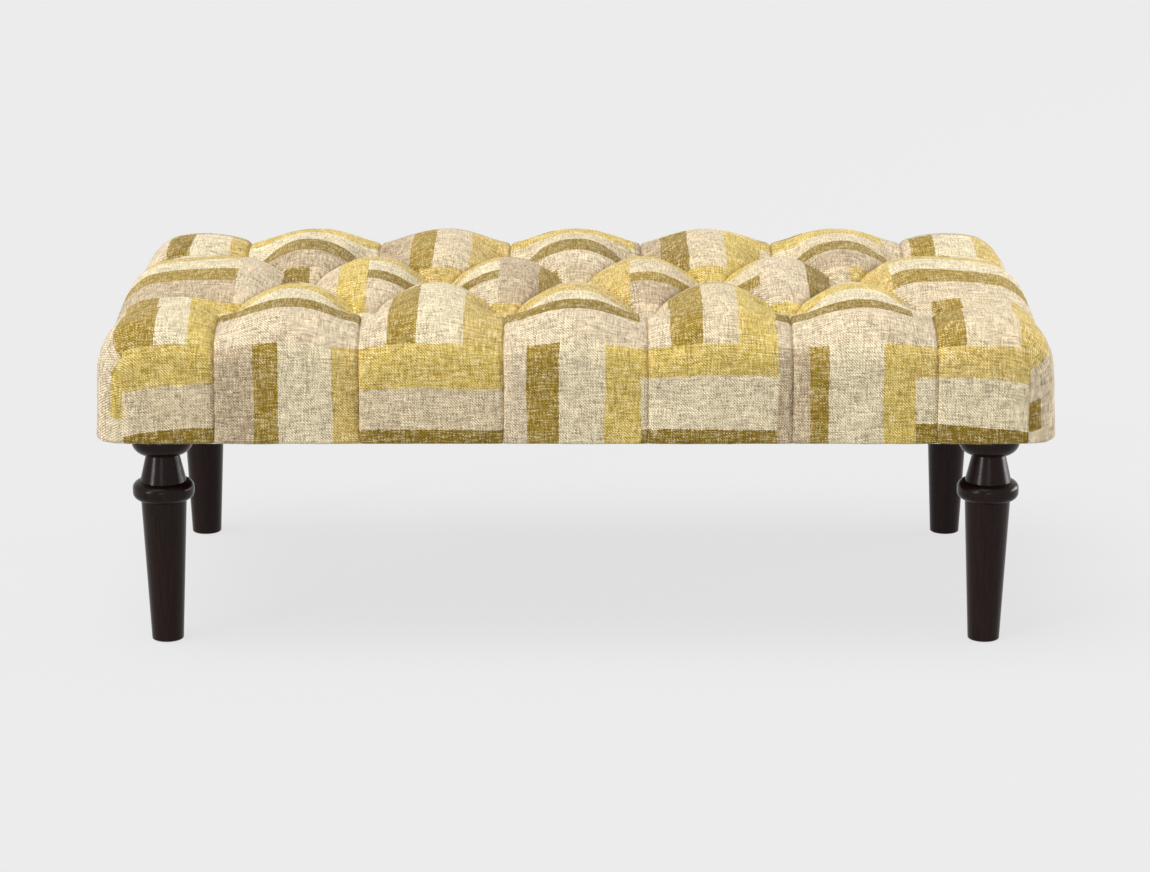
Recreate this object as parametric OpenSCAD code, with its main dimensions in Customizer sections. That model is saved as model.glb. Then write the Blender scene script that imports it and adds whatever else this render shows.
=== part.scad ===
// Button tufted footstool on four turned legs.
// Millimetres, +Z up, origin on the floor under the middle of the seat, front towards -Y.

/* [Seat] */
// Width of the padded seat at its widest
seat_w = 1204; // [1084:10:1324]
// Depth of the padded seat from front to back
seat_d = 628; // [588:5:698]
// Radius of the rounded top edge
shoulder_r = 52; // [44:1:66]
// Corner radius of the seat in plan
corner_r = 34; // [26:1:44]
// How far the side walls lean in towards the top
wall_lean = 4; // [0:0.5:6]
// Thickness of the cover cloth
cover_t = 1.5; // [1:0.25:2.5]
// Thickness of the batting under the cover
batting_t = 14; // [8:1:18]
// Foam left between a button pit and the deck
foam_under_pit = 15; // [12:1:40]

/* [Tufting] */
// Buttons in the front row, and one fewer in the row behind it
columns = 6; // [4:1:8]
// Side of the seat to the nearest button
button_inset_x = 152; // [130:1:170]
// Front of the seat to the nearest button
button_inset_y = 150; // [132:1:164]
// Depth of the button pits below the tops of the tufts
pit_depth = 56; // [50:1:70]
// Depth of a fold halfway between two buttons
fold_depth = 26; // [18:1:36]
// Depth of a pleat where it crosses the rounded edge
pleat_depth = 20; // [12:1:24]
// Fall of the tufts from the outer buttons to the rim
rim_fall = 16; // [4:1:20]
// Depth of a pleat in the side walls
wall_pleat = 6; // [2:1:9]
// Diameter of a covered button
button_d = 26; // [20:1:30]
// Height of the dome of a covered button
button_h = 6; // [4:0.5:8]
// Diameter of the tufting twine
twine_d = 1.6; // [1.2:0.1:2.4]

/* [Frame] */
// Height of the four rails
rail_h = 66.5; // [60:0.5:90]
// Thickness of the four rails
rail_t = 22; // [18:1:26]
// Thickness of the plywood deck
deck_t = 12; // [9:1:18]
// Height of the two cross rails
cross_rail_h = 56; // [44:1:60]
// Thickness of the two cross rails
cross_rail_t = 22; // [18:1:28]
// Height of the corner blocks
block_h = 40; // [34:1:50]
// Length of a corner block along a rail
block_w = 72; // [66:1:84]

/* [Legs] */
// Floor to the underside of the frame
leg_h = 275.5; // [180:0.5:320]
// Side of the seat to the axis of a leg
leg_inset_x = 79.5; // [71:0.5:89]
// Front of the seat to the axis of a leg
leg_inset_y = 67; // [64:0.5:78]
// Largest radius of the bun under the frame
bun_r = 39; // [36:0.5:42]
// Radius of the bun's rounded side
bun_side_r = 18; // [14:0.5:20]
// Underside of the frame to the middle of the bun
bun_drop = 12; // [10:0.5:20]
// Radius of the flat pad on top of the leg
leg_pad_r = 32; // [28:0.5:34]
// Radius that the neck widens to at the middle of the ring
neck_foot_r = 32; // [28:0.5:34]
// Largest radius of the ring
ring_r = 39; // [36:0.5:42]
// Height of the ring
ring_h = 24; // [20:0.5:28]
// Radius of the ring's rounded edges
ring_side_r = 9.5; // [7:0.5:10]
// Underside of the frame to the middle of the ring
ring_drop = 77; // [72:0.5:88]
// Radius of the taper just under the ring
taper_top_r = 29.4; // [25:0.2:31]
// Radius of the leg at the foot
foot_r = 20.2; // [16:0.2:24]
// Diameter of the floor glide
glide_d = 26; // [20:1:30]
// Thickness of the floor glide
glide_h = 3; // [2:0.5:6]
// How far the glide stands out of its recess under the foot
glide_proud = 1; // [0.5:0.5:2]

/* [Hardware] */
// Diameter of the hanger bolt in a leg
bolt_d = 8; // [6:1:10]
// Length of the hanger bolt inside the leg
bolt_in_leg = 38; // [30:1:45]
// Diameter of a dowel
dowel_d = 8; // [6:1:10]
// Length of a dowel
dowel_l = 30; // [24:1:32]
// Diameter of a wood screw
screw_d = 4; // [3:0.5:5]
// Length of a corner block screw
block_screw_l = 45; // [40:1:46]
// Length of a deck screw
deck_screw_l = 30; // [24:1:36]
// Distance from staple to staple, at most
staple_pitch = 80; // [60:5:110]
// Width of a staple across its crown
staple_w = 10; // [8:1:12]
// Length of the legs of a staple
staple_l = 8; // [6:1:10]

/* [Hidden] */
ROWS = ["front", "middle", "back"];
CORNERS = ["front_left", "front_right", "back_left", "back_right"];
corner_sides = [[-1, -1], [1, -1], [-1, 1], [1, 1]];
button_places = [
    for (r = [0 : len(ROWS) - 1])
        for (c = [0 : columns - 1 - r % 2])
            [r, c]
];
function button_name(place) = str("button_", ROWS[place[0]], "_", place[1] + 1);

// Clearances and overruns
soft_gap = 0.25;
fit = 0.1;
overrun = 1;
$fn = 64;

// Heights of the frame and of the seat's layers
rail_top = leg_h + rail_h;
deck_top = rail_top + deck_t;
wall_t = cover_t + 2 * soft_gap + batting_t;
pit_z = deck_top + foam_under_pit + wall_t;
seat_h = pit_z + pit_depth;
cover_foot_z = leg_h - cover_t;

// Plan sizes of the padded top and of the wooden frame inside it
top_half_w = seat_w / 2 - wall_lean;
top_half_d = seat_d / 2 - wall_lean;
frame_w = 2 * (top_half_w - wall_t);
frame_d = 2 * (top_half_d - wall_t);
frame_round_share = 0.6;
frame_corner_r = corner_r - frame_round_share * wall_t;

// Places of the buttons
tuft_half_w = seat_w / 2 - button_inset_x;
tuft_half_d = seat_d / 2 - button_inset_y;
column_pitch = 2 * tuft_half_w / (columns - 1);
row_pitch = 2 * tuft_half_d / (len(ROWS) - 1);
function button_xy(place) = [
    (place[1] + (place[0] % 2) / 2) * column_pitch - tuft_half_w,
    place[0] * row_pitch - tuft_half_d
];
buttons = [for (place = button_places) button_xy(place)];

// Grid of the padded top: cells between a button and the next row, and cells out to the rim
half_cells = 3;
rim_cells = 2;
cells_x = 2 * half_cells * (columns - 1) + 2 * rim_cells;
cells_y = half_cells * (len(ROWS) - 1) + 2 * rim_cells;
cell_w = column_pitch / (2 * half_cells);
rim_drop_share = 1 - sin(45);
rim_half_w = top_half_w - shoulder_r * rim_drop_share;
rim_half_d = top_half_d - shoulder_r * rim_drop_share;
corner_power = 3;
crown_power = 0.65;
fold_reach_share = 0.33;
fold_reach = fold_reach_share * column_pitch;
pleat_run_share = 0.4;
pleat_run = pleat_run_share * button_inset_y;
wall_angle = 20;

// Button, shank and twine
button_r = button_d / 2;
back_r = 9;
back_h = 4;
shank_r = 3.2;
shank_wire_r = 0.6;
eye_r = 3;
hole_angle = 11;
twine_r = twine_d / 2;
twine_gap = 0.5;
twine_hole_r = twine_r + twine_gap;
deck_hole_r = 3;
washer_r = 10;
washer_t = 2;
knot_r = 2.6;

// Corner blocks and fasteners
block_cut_share = 0.4;
block_screw_x_share = 0.8;
block_screw_z_shares = [0.3, 0.7];
block_screw_in_rail = 15;
screw_head_share = 1.9;
screw_head_r = screw_head_share * screw_d / 2;
screw_head_h_share = 0.6;
screw_head_h = screw_head_h_share * screw_d;
screw_tip_share = 1.2;
screw_tip_h = screw_tip_share * screw_d;
dowel_z_shares = [0.25, 0.75];
cross_rail_pitch_share = 1.25;
nut_flange_r = 11;
nut_flange_t = 1.6;
nut_wall = 1.4;
nut_barrel_r = bolt_d / 2 + nut_wall;
nut_barrel_l = 9;
bolt_proud = 3;
bolt_tip_h = 2;
foot_round = 1;
leg_pad_h = 3;
glide_bevel = 1;
nail_r = 1.25;
nail_l = 16;
nail_head_r = 3.5;
nail_head_t = 1;

// Cloth under the frame
strip_t = cover_t;
strip_w = 28;
cambric_t = 0.8;
cambric_gap = 2;
cambric_hole_gap = 3;
staple_wire = 0.9;
staple_inset = 5;

// Shape of the tufted top

// 0 at a whole number, 0.5 halfway between two
function wave(t) = abs(t - round(t));
// Rises from 0 to 1 and levels off there
function ease(t) = 1 - pow(1 - min(1, t), 2);
// How far a coordinate lies outside a half width
function over(v, half) = max(0, abs(v) - half);
function mix(a, b, share) = a + (b - a) * share;
function unit(v) = v / norm(v);

// 0 in every fold and pleat, 1 on the crown of every tuft
function swell(x, y) =
    let (out_x = over(x, tuft_half_w) / column_pitch)
    let (out_y = over(y, tuft_half_d) / row_pitch)
    let (bx = (x + tuft_half_w) / column_pitch)
    let (by = (y + tuft_half_d) / row_pitch)
    let (share = out_x > 0 && out_y > 0 ? ease(2 * out_x) * ease(out_y)
        : out_y > 0 ? pow(ease(2 * wave(bx)), 2)
        : out_x > 0 ? pow(ease(2 * wave(by / 2)), 2)
        : ease(2 * wave(bx + by / 2)) * ease(2 * wave(bx - by / 2)))
    pow(share, crown_power);

// How far a place lies outside the field of buttons
function outside(x, y) = norm([over(x, tuft_half_w), over(y, tuft_half_d)]);

// Height of the bottom of a fold above the button pits
function fold_rise(x, y) =
    let (near = min([for (b = buttons) norm([x, y] - b)]))
    (pit_depth - fold_depth) * ease(near / fold_reach)
    + (fold_depth - pleat_depth) * min(1, outside(x, y) / pleat_run);

// Fall of the tufts towards the rim and round its edge
function edge_fall(x, y) =
    let (tx = over(x, top_half_w - shoulder_r) / shoulder_r)
    let (ty = over(y, top_half_d - shoulder_r) / shoulder_r)
    let (t = pow(pow(tx, corner_power) + pow(ty, corner_power), 1 / corner_power))
    shoulder_r * (1 - sqrt(1 - pow(min(1, t), 2)))
    + rim_fall * pow(outside(x, y) / (top_half_d - tuft_half_d), 2);

function top_z(x, y) =
    let (rise = fold_rise(x, y))
    pit_z + rise + (pit_depth - rise) * swell(x, y) - edge_fall(x, y);

// Grid line k of a row of cells: even steps among the buttons, then a bend and the rim
function grid_at(k, cells, tuft_half, bend, half) =
    let (inner = cells - 2 * rim_cells)
    let (out = max(rim_cells - k, k - cells + rim_cells))
    out == 2 ? sign(k - cells / 2) * half
    : out == 1 ? sign(k - cells / 2) * bend
    : mix(-tuft_half, tuft_half, (k - rim_cells) / inner);
function top_grid(ij) = [
    grid_at(ij[0], cells_x, tuft_half_w, top_half_w - shoulder_r, rim_half_w),
    grid_at(ij[1], cells_y, tuft_half_d, top_half_d - shoulder_r, rim_half_d)
];
function wall_grid(ij, half_w, half_d, angle) =
    let (bend = corner_r * (1 - tan(angle)))
    [
        grid_at(ij[0], cells_x, tuft_half_w, half_w - bend, half_w),
        grid_at(ij[1], cells_y, tuft_half_d, half_d - bend, half_d)
    ];

// Grid places round the rim, anticlockwise from the front left corner
rim_ij = concat(
    [for (i = [0 : cells_x - 1]) [i, 0]],
    [for (j = [0 : cells_y - 1]) [cells_x, j]],
    [for (i = [0 : cells_x - 1]) [cells_x - i, cells_y]],
    [for (j = [0 : cells_y - 1]) [0, cells_y - j]]
);
rim_n = len(rim_ij);

function lean_share(v, half, rim_half) = sign(v) * over(v, half - shoulder_r) / (rim_half - half + shoulder_r);

// A point of the top, a depth below the cover's outside
function top_point(ij, depth) =
    let (q = top_grid(ij))
    let (lean_x = lean_share(q[0], top_half_w, rim_half_w))
    let (lean_y = lean_share(q[1], top_half_d, rim_half_d))
    [q[0], q[1], top_z(q[0], q[1])] - depth * unit([lean_x, lean_y, 1]);

// A point of the side walls: spread moves the wall out, groove is the pleats' depth
// and angle is how far round the corner of the grid line next to it
function wall_point(ij, z, spread, groove, depth, angle) =
    let (half_w = top_half_w + spread)
    let (half_d = top_half_d + spread)
    let (q = wall_grid(ij, half_w, half_d, angle))
    let (rim = top_grid(ij))
    let (core = [
        min(half_w - corner_r, max(corner_r - half_w, q[0])),
        min(half_d - corner_r, max(corner_r - half_d, q[1]))
    ])
    let (out = unit(q - core))
    let (folds = 1 - swell(rim[0], rim[1]))
    let (p = core + (corner_r - depth - groove * folds) * out)
    [p[0], p[1], z];

// One skin of a layer: the top, the foot of the rounded edge and the foot of the walls
function skin(depth, foot_z, spread, groove, angle) = concat(
    [for (j = [0 : cells_y]) for (i = [0 : cells_x]) top_point([i, j], depth)],
    [for (ij = rim_ij) wall_point(ij, seat_h - rim_fall - shoulder_r, 0, groove, depth, angle)],
    [for (ij = rim_ij) wall_point(ij, foot_z, spread, 0, depth, angle)]
);
top_n = (cells_x + 1) * (cells_y + 1);
skin_n = top_n + 2 * rim_n;
function top_index(i, j) = i + j * (cells_x + 1);
function rim_index(m) = top_index(rim_ij[m % rim_n][0], rim_ij[m % rim_n][1]);
function wall_index(m, level) = level == 0 ? rim_index(m) : top_n + (level - 1) * rim_n + m % rim_n;

// A cell splits along the fold that crosses its block of cells
function rising(i, j) = (floor((i - rim_cells) / half_cells) + floor((j - rim_cells) / half_cells)) % 2 == 0;
function cell_faces(i, j) =
    let (a = top_index(i, j))
    let (b = top_index(i + 1, j))
    let (c = top_index(i + 1, j + 1))
    let (d = top_index(i, j + 1))
    rising(i, j) ? [[a, c, b], [a, d, c]] : [[a, d, b], [b, d, c]];
top_faces = [
    for (j = [0 : cells_y - 1])
        for (i = [0 : cells_x - 1])
            for (face = cell_faces(i, j))
                face
];
wall_faces = [
    for (level = [0 : 1])
        for (m = [0 : rim_n - 1])
            let (a = wall_index(m, level))
            let (b = wall_index(m + 1, level))
            let (c = wall_index(m + 1, level + 1))
            let (d = wall_index(m, level + 1))
            for (face = [[a, b, c], [a, c, d]])
                face
];
skin_faces = concat(top_faces, wall_faces);
function flipped(faces, shift) = [for (f = faces) [f[2] + shift, f[1] + shift, f[0] + shift]];
foot_faces = [
    for (m = [0 : rim_n - 1])
        let (a = wall_index(m, 2))
        let (b = wall_index(m + 1, 2))
        for (face = [[a, b, b + skin_n], [a, b + skin_n, a + skin_n]])
            face
];

// A layer between two skins, open underneath
module layer(outer, inner) {
    polyhedron(concat(outer, inner), concat(skin_faces, flipped(skin_faces, skin_n), foot_faces), convexity = 10);
}

module twine_holes(r, low, high) {
    for (b = buttons)
        translate([b[0], b[1], low])
            rotate(hole_angle)
                cylinder(r = r, h = high - low);
}

// Padded parts

batting_depth = cover_t + soft_gap;
foam_depth = batting_depth + batting_t + soft_gap;

module cover() {
    color("#c9b06a")
        difference() {
            layer(
                skin(0, cover_foot_z, wall_lean, wall_pleat, wall_angle),
                skin(cover_t, cover_foot_z, wall_lean, wall_pleat, wall_angle)
            );
            twine_holes(twine_hole_r, leg_h, seat_h + overrun);
        }
}

module batting() {
    color("#f4f2ec")
        difference() {
            layer(
                skin(batting_depth, leg_h, wall_lean, wall_pleat, wall_angle),
                skin(batting_depth + batting_t, leg_h, 0, 0, 0)
            );
            twine_holes(twine_hole_r, leg_h, seat_h + overrun);
        }
}

module foam_block() {
    base = [for (m = [0 : rim_n - 1]) wall_index(m, 2)];
    color("#f0e4a8")
        difference() {
            polyhedron(
                concat(skin(foam_depth, deck_top, 0, 0, 0), [[0, 0, deck_top]]),
                concat(skin_faces, [for (m = [0 : rim_n - 1]) [base[m], base[(m + 1) % rim_n], skin_n]]),
                convexity = 10
            );
            twine_holes(twine_hole_r, leg_h, seat_h + overrun);
        }
}

// Buttons

// Height at which the back of a button's rim meets the steepest side of its pit
function button_seat_z(b) =
    let (toward = b[0] > 0 ? -cell_w : cell_w)
    mix(top_z(b[0], b[1]), top_z(b[0] + toward, b[1]), button_r / cell_w) + soft_gap;

module covered_button(b) {
    dome_r = (button_r * button_r + button_h * button_h) / (2 * button_h);
    color("#cdbf9a")
        translate([b[0], b[1], button_seat_z(b)])
            intersection() {
                translate([0, 0, button_h - dome_r])
                    sphere(dome_r);
                cylinder(r = button_r + overrun, h = button_h + overrun);
            }
}

function shank_z(b) = button_seat_z(b) - back_h - shank_r + shank_wire_r;
function eye_z(b) = shank_z(b) - shank_r + shank_wire_r + fit + twine_r - eye_r;

module button_backs() {
    color("#b9bcc0")
        for (b = buttons)
            translate([b[0], b[1], 0]) {
                translate([0, 0, button_seat_z(b) - back_h])
                    cylinder(r = back_r, h = back_h);
                translate([0, 0, shank_z(b)])
                    rotate([90, 0, 0])
                        rotate_extrude()
                            translate([shank_r, 0])
                                circle(shank_wire_r);
            }
}

module tufting_twine() {
    foot = rail_top - washer_t - knot_r;
    color("#d8cba6")
        for (b = buttons)
            translate([b[0], b[1], 0]) {
                translate([0, 0, eye_z(b)])
                    rotate([90, 0, 90])
                        rotate_extrude()
                            translate([eye_r, 0])
                                circle(twine_r);
                translate([0, 0, foot])
                    cylinder(r = twine_r, h = eye_z(b) - eye_r - foot);
                translate([0, 0, foot])
                    sphere(knot_r);
            }
}

module twine_washers() {
    color("#7c6a4c")
        for (b = buttons)
            translate([b[0], b[1], rail_top - washer_t])
                difference() {
                    cylinder(r = washer_r, h = washer_t);
                    translate([0, 0, -overrun])
                        cylinder(r = twine_r + fit, h = washer_t + 2 * overrun);
                }
}

// Wooden frame

module rounded_plate(w, d, r) {
    square([w - 2 * r, d], center = true);
    square([w, d - 2 * r], center = true);
    for (sx = [-1, 1])
        for (sy = [-1, 1])
            translate([sx * (w / 2 - r), sy * (d / 2 - r)])
                circle(r);
}

// Drawn for the back right corner and mirrored into the others
module at_corner(side) {
    mirror([side[0] < 0 ? 1 : 0, 0, 0])
        mirror([0, side[1] < 0 ? 1 : 0, 0])
            children();
}

leg_x = seat_w / 2 - leg_inset_x;
leg_y = seat_d / 2 - leg_inset_y;
rail_x = frame_w / 2 - rail_t;
rail_y = frame_d / 2 - rail_t;
cross_rail_x = cross_rail_pitch_share * column_pitch;
cross_rail_z = rail_top - cross_rail_h;
block_screw_seat = block_screw_l - block_screw_in_rail;
deck_screw_xs = [for (c = [0 : columns - 1]) c * column_pitch - tuft_half_w];
deck_screw_ys = [-row_pitch / 2, row_pitch / 2];

// Cylinder along Y, centred on its length
module rod_y(r, l) {
    rotate([90, 0, 0])
        cylinder(r = r, h = l, center = true);
}

module corner_dowels(r, l) {
    for (side = corner_sides)
        for (share = dowel_z_shares)
            translate([side[0] * (frame_w - rail_t) / 2, side[1] * rail_y, leg_h + share * rail_h])
                rod_y(r, l);
}

module cross_dowels(r, l) {
    for (side = corner_sides)
        for (share = dowel_z_shares)
            translate([side[0] * cross_rail_x, side[1] * rail_y, cross_rail_z + share * cross_rail_h])
                rod_y(r, l);
}

module rail_dowels() {
    color("#d9b98a") {
        corner_dowels(dowel_d / 2, dowel_l);
        cross_dowels(dowel_d / 2, dowel_l);
    }
}

module dowel_holes() {
    corner_dowels(dowel_d / 2 + fit, dowel_l + 2 * fit);
    cross_dowels(dowel_d / 2 + fit, dowel_l + 2 * fit);
}

// Countersunk screw, head up, with its top at the origin; gap makes the hole for it
module wood_screw(l, gap = 0) {
    shank_end = screw_tip_h - l;
    translate([0, 0, -screw_head_h])
        cylinder(r1 = screw_d / 2 + gap, r2 = screw_head_r + gap, h = screw_head_h);
    translate([0, 0, shank_end])
        cylinder(r = screw_d / 2 + gap, h = -shank_end - screw_head_h);
    translate([0, 0, -l - gap])
        cylinder(r1 = screw_d / 8 + gap, r2 = screw_d / 2 + gap, h = screw_tip_h + gap);
}

// Places of the two screws of a corner block, heads towards the middle of the seat
module at_block_screws() {
    place = block_w * block_screw_x_share;
    translate([rail_x - place, rail_y - block_screw_seat, leg_h + block_screw_z_shares[0] * block_h])
        rotate([90, 0, 0])
            children();
    translate([rail_x - block_screw_seat, rail_y - place, leg_h + block_screw_z_shares[1] * block_h])
        rotate([0, -90, 0])
            children();
}

module block_screw_holes() {
    for (side = corner_sides)
        at_corner(side)
            at_block_screws() {
                wood_screw(block_screw_l, fit);
                cylinder(r = screw_head_r + fit, h = block_w);
            }
}

module corner_block_screws() {
    color("#8f9296")
        for (side = corner_sides)
            at_corner(side)
                at_block_screws()
                    wood_screw(block_screw_l);
}

module at_deck_screws() {
    for (y = [-1, 1])
        for (x = deck_screw_xs)
            translate([x, y * (frame_d - rail_t) / 2, deck_top])
                children();
    for (x = [-1, 1])
        for (y = deck_screw_ys)
            translate([x * (frame_w - rail_t) / 2, y, deck_top])
                children();
}

module deck_screws() {
    color("#8f9296")
        at_deck_screws()
            wood_screw(deck_screw_l);
}

module deck_screw_holes() {
    at_deck_screws()
        wood_screw(deck_screw_l, fit);
}

// Everything that is drilled into a rail
module rail_cuts() {
    dowel_holes();
    block_screw_holes();
    deck_screw_holes();
    strip_staples(fit);
    cambric_staples(fit);
}

module rail(size, place) {
    color("#c79a62")
        difference() {
            intersection() {
                translate([place[0] - size[0] / 2, place[1] - size[1] / 2, leg_h])
                    cube([size[0], size[1], rail_h]);
                translate([0, 0, leg_h])
                    linear_extrude(rail_h)
                        rounded_plate(frame_w, frame_d, frame_corner_r);
            }
            rail_cuts();
        }
}

module long_rail(side) {
    rail([frame_w, rail_t], [0, side * (frame_d - rail_t) / 2]);
}

module short_rail(side) {
    rail([rail_t, frame_d - 2 * rail_t], [side * (frame_w - rail_t) / 2, 0]);
}

module cross_rail(side) {
    color("#c79a62")
        difference() {
            translate([side * cross_rail_x - cross_rail_t / 2, -rail_y, cross_rail_z])
                cube([cross_rail_t, 2 * rail_y, cross_rail_h]);
            cross_dowels(dowel_d / 2 + fit, dowel_l + 2 * fit);
        }
}

module corner_block(side) {
    cut = block_w * block_cut_share;
    color("#b98b55")
        at_corner(side)
            difference() {
                translate([rail_x, rail_y, leg_h])
                    linear_extrude(block_h)
                        polygon([[0, 0], [-block_w, 0], [-block_w, -cut], [-cut, -block_w], [0, -block_w]]);
                at_block_screws() {
                    wood_screw(block_screw_l, fit);
                    cylinder(r = screw_head_r + fit, h = block_w);
                }
                translate([leg_x, leg_y, leg_h - overrun])
                    cylinder(r = bolt_d / 2 + fit, h = block_h + 2 * overrun);
                translate([leg_x, leg_y, leg_h + block_h - nut_barrel_l - fit])
                    cylinder(r = nut_barrel_r + fit, h = nut_barrel_l + overrun);
            }
}

module deck_board() {
    color("#d8b98c")
        difference() {
            translate([0, 0, rail_top])
                linear_extrude(deck_t)
                    rounded_plate(frame_w, frame_d, frame_corner_r);
            deck_screw_holes();
            twine_holes(deck_hole_r, rail_top - overrun, deck_top + overrun);
        }
}

// Cloth and staples under the frame

strip_half_w = seat_w / 2 - cover_t - soft_gap;
strip_half_d = seat_d / 2 - cover_t - soft_gap;
cambric_half_w = strip_half_w - strip_w - cambric_gap;
cambric_half_d = strip_half_d - strip_w - cambric_gap;
strip_staple_x = frame_w / 2 - staple_inset;
strip_staple_y = frame_d / 2 - staple_inset;
cambric_staple_x = cambric_half_w - staple_inset;
cambric_staple_y = cambric_half_d - staple_inset;

// A staple with its crown along X, lying against the cloth at the origin; gap makes its holes
module staple(cloth_t, gap = 0) {
    wire = staple_wire + 2 * gap;
    if (gap == 0)
        translate([-staple_w / 2, -wire / 2, -cloth_t - wire])
            cube([staple_w, wire, wire]);
    for (side = [-1, 1])
        translate([side * (staple_w - staple_wire) / 2 - wire / 2, -wire / 2, -cloth_t - gap])
            cube([wire, wire, staple_l + 2 * gap]);
}

// Staples along the four sides of a rectangle, as far as end_x and end_y from its middle
module staple_lines(half_w, half_d, end_x, end_y, cloth_t, gap) {
    count_x = ceil(2 * end_x / staple_pitch);
    count_y = ceil(2 * end_y / staple_pitch);
    for (side = [-1, 1]) {
        for (k = [0 : count_x])
            translate([mix(-end_x, end_x, k / count_x), side * half_d, leg_h])
                staple(cloth_t, gap);
        for (k = [0 : count_y])
            translate([side * half_w, mix(-end_y, end_y, k / count_y), leg_h])
                rotate(90)
                    staple(cloth_t, gap);
    }
}

module strip_staples(gap) {
    staple_lines(strip_staple_x, strip_staple_y, rail_x - staple_w, rail_y - staple_w, strip_t, gap);
}

module cambric_staples(gap) {
    room = leg_pad_r + cambric_hole_gap + staple_w;
    staple_lines(cambric_staple_x, cambric_staple_y, leg_x - room, leg_y - room, cambric_t, gap);
}

// A point of the strips' outline, just inside the foot of the cover
function strip_point(ij) =
    let (p = wall_point(ij, leg_h, wall_lean, 0, cover_t + soft_gap, wall_angle))
    [p[0], p[1]];

module pull_strips() {
    color("#e9e4d6")
        difference() {
            translate([0, 0, leg_h - strip_t])
                linear_extrude(strip_t)
                    difference() {
                        polygon([for (ij = rim_ij) strip_point(ij)]);
                        square(2 * [strip_half_w - strip_w, strip_half_d - strip_w], center = true);
                    }
            strip_staples(fit);
        }
}

// Notched round the legs
module dust_cover() {
    color("#26262a")
        difference() {
            translate([0, 0, leg_h - cambric_t])
                linear_extrude(cambric_t)
                    difference() {
                        square(2 * [cambric_half_w, cambric_half_d], center = true);
                        for (side = corner_sides)
                            at_corner(side)
                                translate([leg_x, leg_y]) {
                                    circle(leg_pad_r + cambric_hole_gap);
                                    square(leg_inset_x);
                                }
                    }
            cambric_staples(fit);
        }
}

module pull_strip_staples() {
    color("#c9ccd0")
        strip_staples(0);
}

module dust_cover_staples() {
    color("#c9ccd0")
        cambric_staples(0);
}

// Legs

bun_z = leg_h - bun_drop;
neck_r = bun_r - bun_side_r;
ring_z = leg_h - ring_drop;
ring_flat = ring_h - 2 * ring_side_r;

module leg_profile() {
    polygon([
        [0, glide_proud],
        [foot_r - foot_round, glide_proud],
        [foot_r, glide_proud + foot_round],
        [taper_top_r, ring_z],
        [neck_foot_r, ring_z],
        [neck_r, bun_z - bun_side_r],
        [neck_r, leg_h - leg_pad_h],
        [leg_pad_r, leg_h - leg_pad_h],
        [leg_pad_r, leg_h],
        [0, leg_h]
    ]);
    translate([0, ring_z - ring_h / 2])
        square([ring_r - ring_side_r, ring_h]);
    translate([0, ring_z - ring_flat / 2])
        square([ring_r, ring_flat]);
    for (side = [-1, 1])
        translate([ring_r - ring_side_r, ring_z + side * ring_flat / 2])
            circle(ring_side_r);
    intersection() {
        translate([neck_r, bun_z])
            circle(bun_side_r);
        square([bun_r + overrun, leg_h - leg_pad_h]);
    }
}

module leg(side) {
    color("#2e1d15")
        translate([side[0] * leg_x, side[1] * leg_y, 0])
            difference() {
                rotate_extrude()
                    leg_profile();
                translate([0, 0, leg_h - bolt_in_leg - fit])
                    cylinder(r = bolt_d / 2 + fit, h = bolt_in_leg + overrun);
                translate([0, 0, -overrun])
                    cylinder(r = glide_d / 2 + fit, h = glide_h + overrun);
                translate([0, 0, glide_h - overrun])
                    cylinder(r = nail_r + fit, h = nail_l + overrun);
            }
}

module glide(side) {
    color("#1d1a18")
        translate([side[0] * leg_x, side[1] * leg_y, 0])
            difference() {
                union() {
                    cylinder(r1 = glide_d / 2 - glide_bevel, r2 = glide_d / 2, h = glide_bevel);
                    translate([0, 0, glide_bevel])
                        cylinder(r = glide_d / 2, h = glide_h - glide_bevel);
                }
                translate([0, 0, glide_bevel])
                    cylinder(r = nail_r + fit, h = glide_h);
                translate([0, 0, -overrun])
                    cylinder(r = nail_head_r + fit, h = glide_bevel + overrun);
            }
}

module glide_nails() {
    color("#c9ccd0")
        for (side = corner_sides)
            translate([side[0] * leg_x, side[1] * leg_y, glide_bevel - nail_head_t / 2]) {
                cylinder(r = nail_head_r, h = nail_head_t / 2);
                cylinder(r = nail_r, h = nail_l);
            }
}

module hanger_bolts() {
    top = leg_h + block_h + nut_flange_t + bolt_proud;
    bottom = leg_h - bolt_in_leg;
    color("#a9acb0")
        for (side = corner_sides)
            translate([side[0] * leg_x, side[1] * leg_y, 0]) {
                translate([0, 0, bottom])
                    cylinder(r1 = bolt_d / 8, r2 = bolt_d / 2, h = bolt_tip_h);
                translate([0, 0, bottom + bolt_tip_h])
                    cylinder(r = bolt_d / 2, h = top - bottom - bolt_tip_h);
            }
}

module t_nuts() {
    color("#b4b0a0")
        for (side = corner_sides)
            translate([side[0] * leg_x, side[1] * leg_y, leg_h + block_h])
                difference() {
                    union() {
                        cylinder(r = nut_flange_r, h = nut_flange_t);
                        translate([0, 0, -nut_barrel_l])
                            cylinder(r = nut_barrel_r, h = nut_barrel_l + nut_flange_t);
                    }
                    translate([0, 0, -nut_barrel_l - overrun])
                        cylinder(r = bolt_d / 2 + fit, h = nut_barrel_l + nut_flange_t + 2 * overrun);
                }
}

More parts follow.
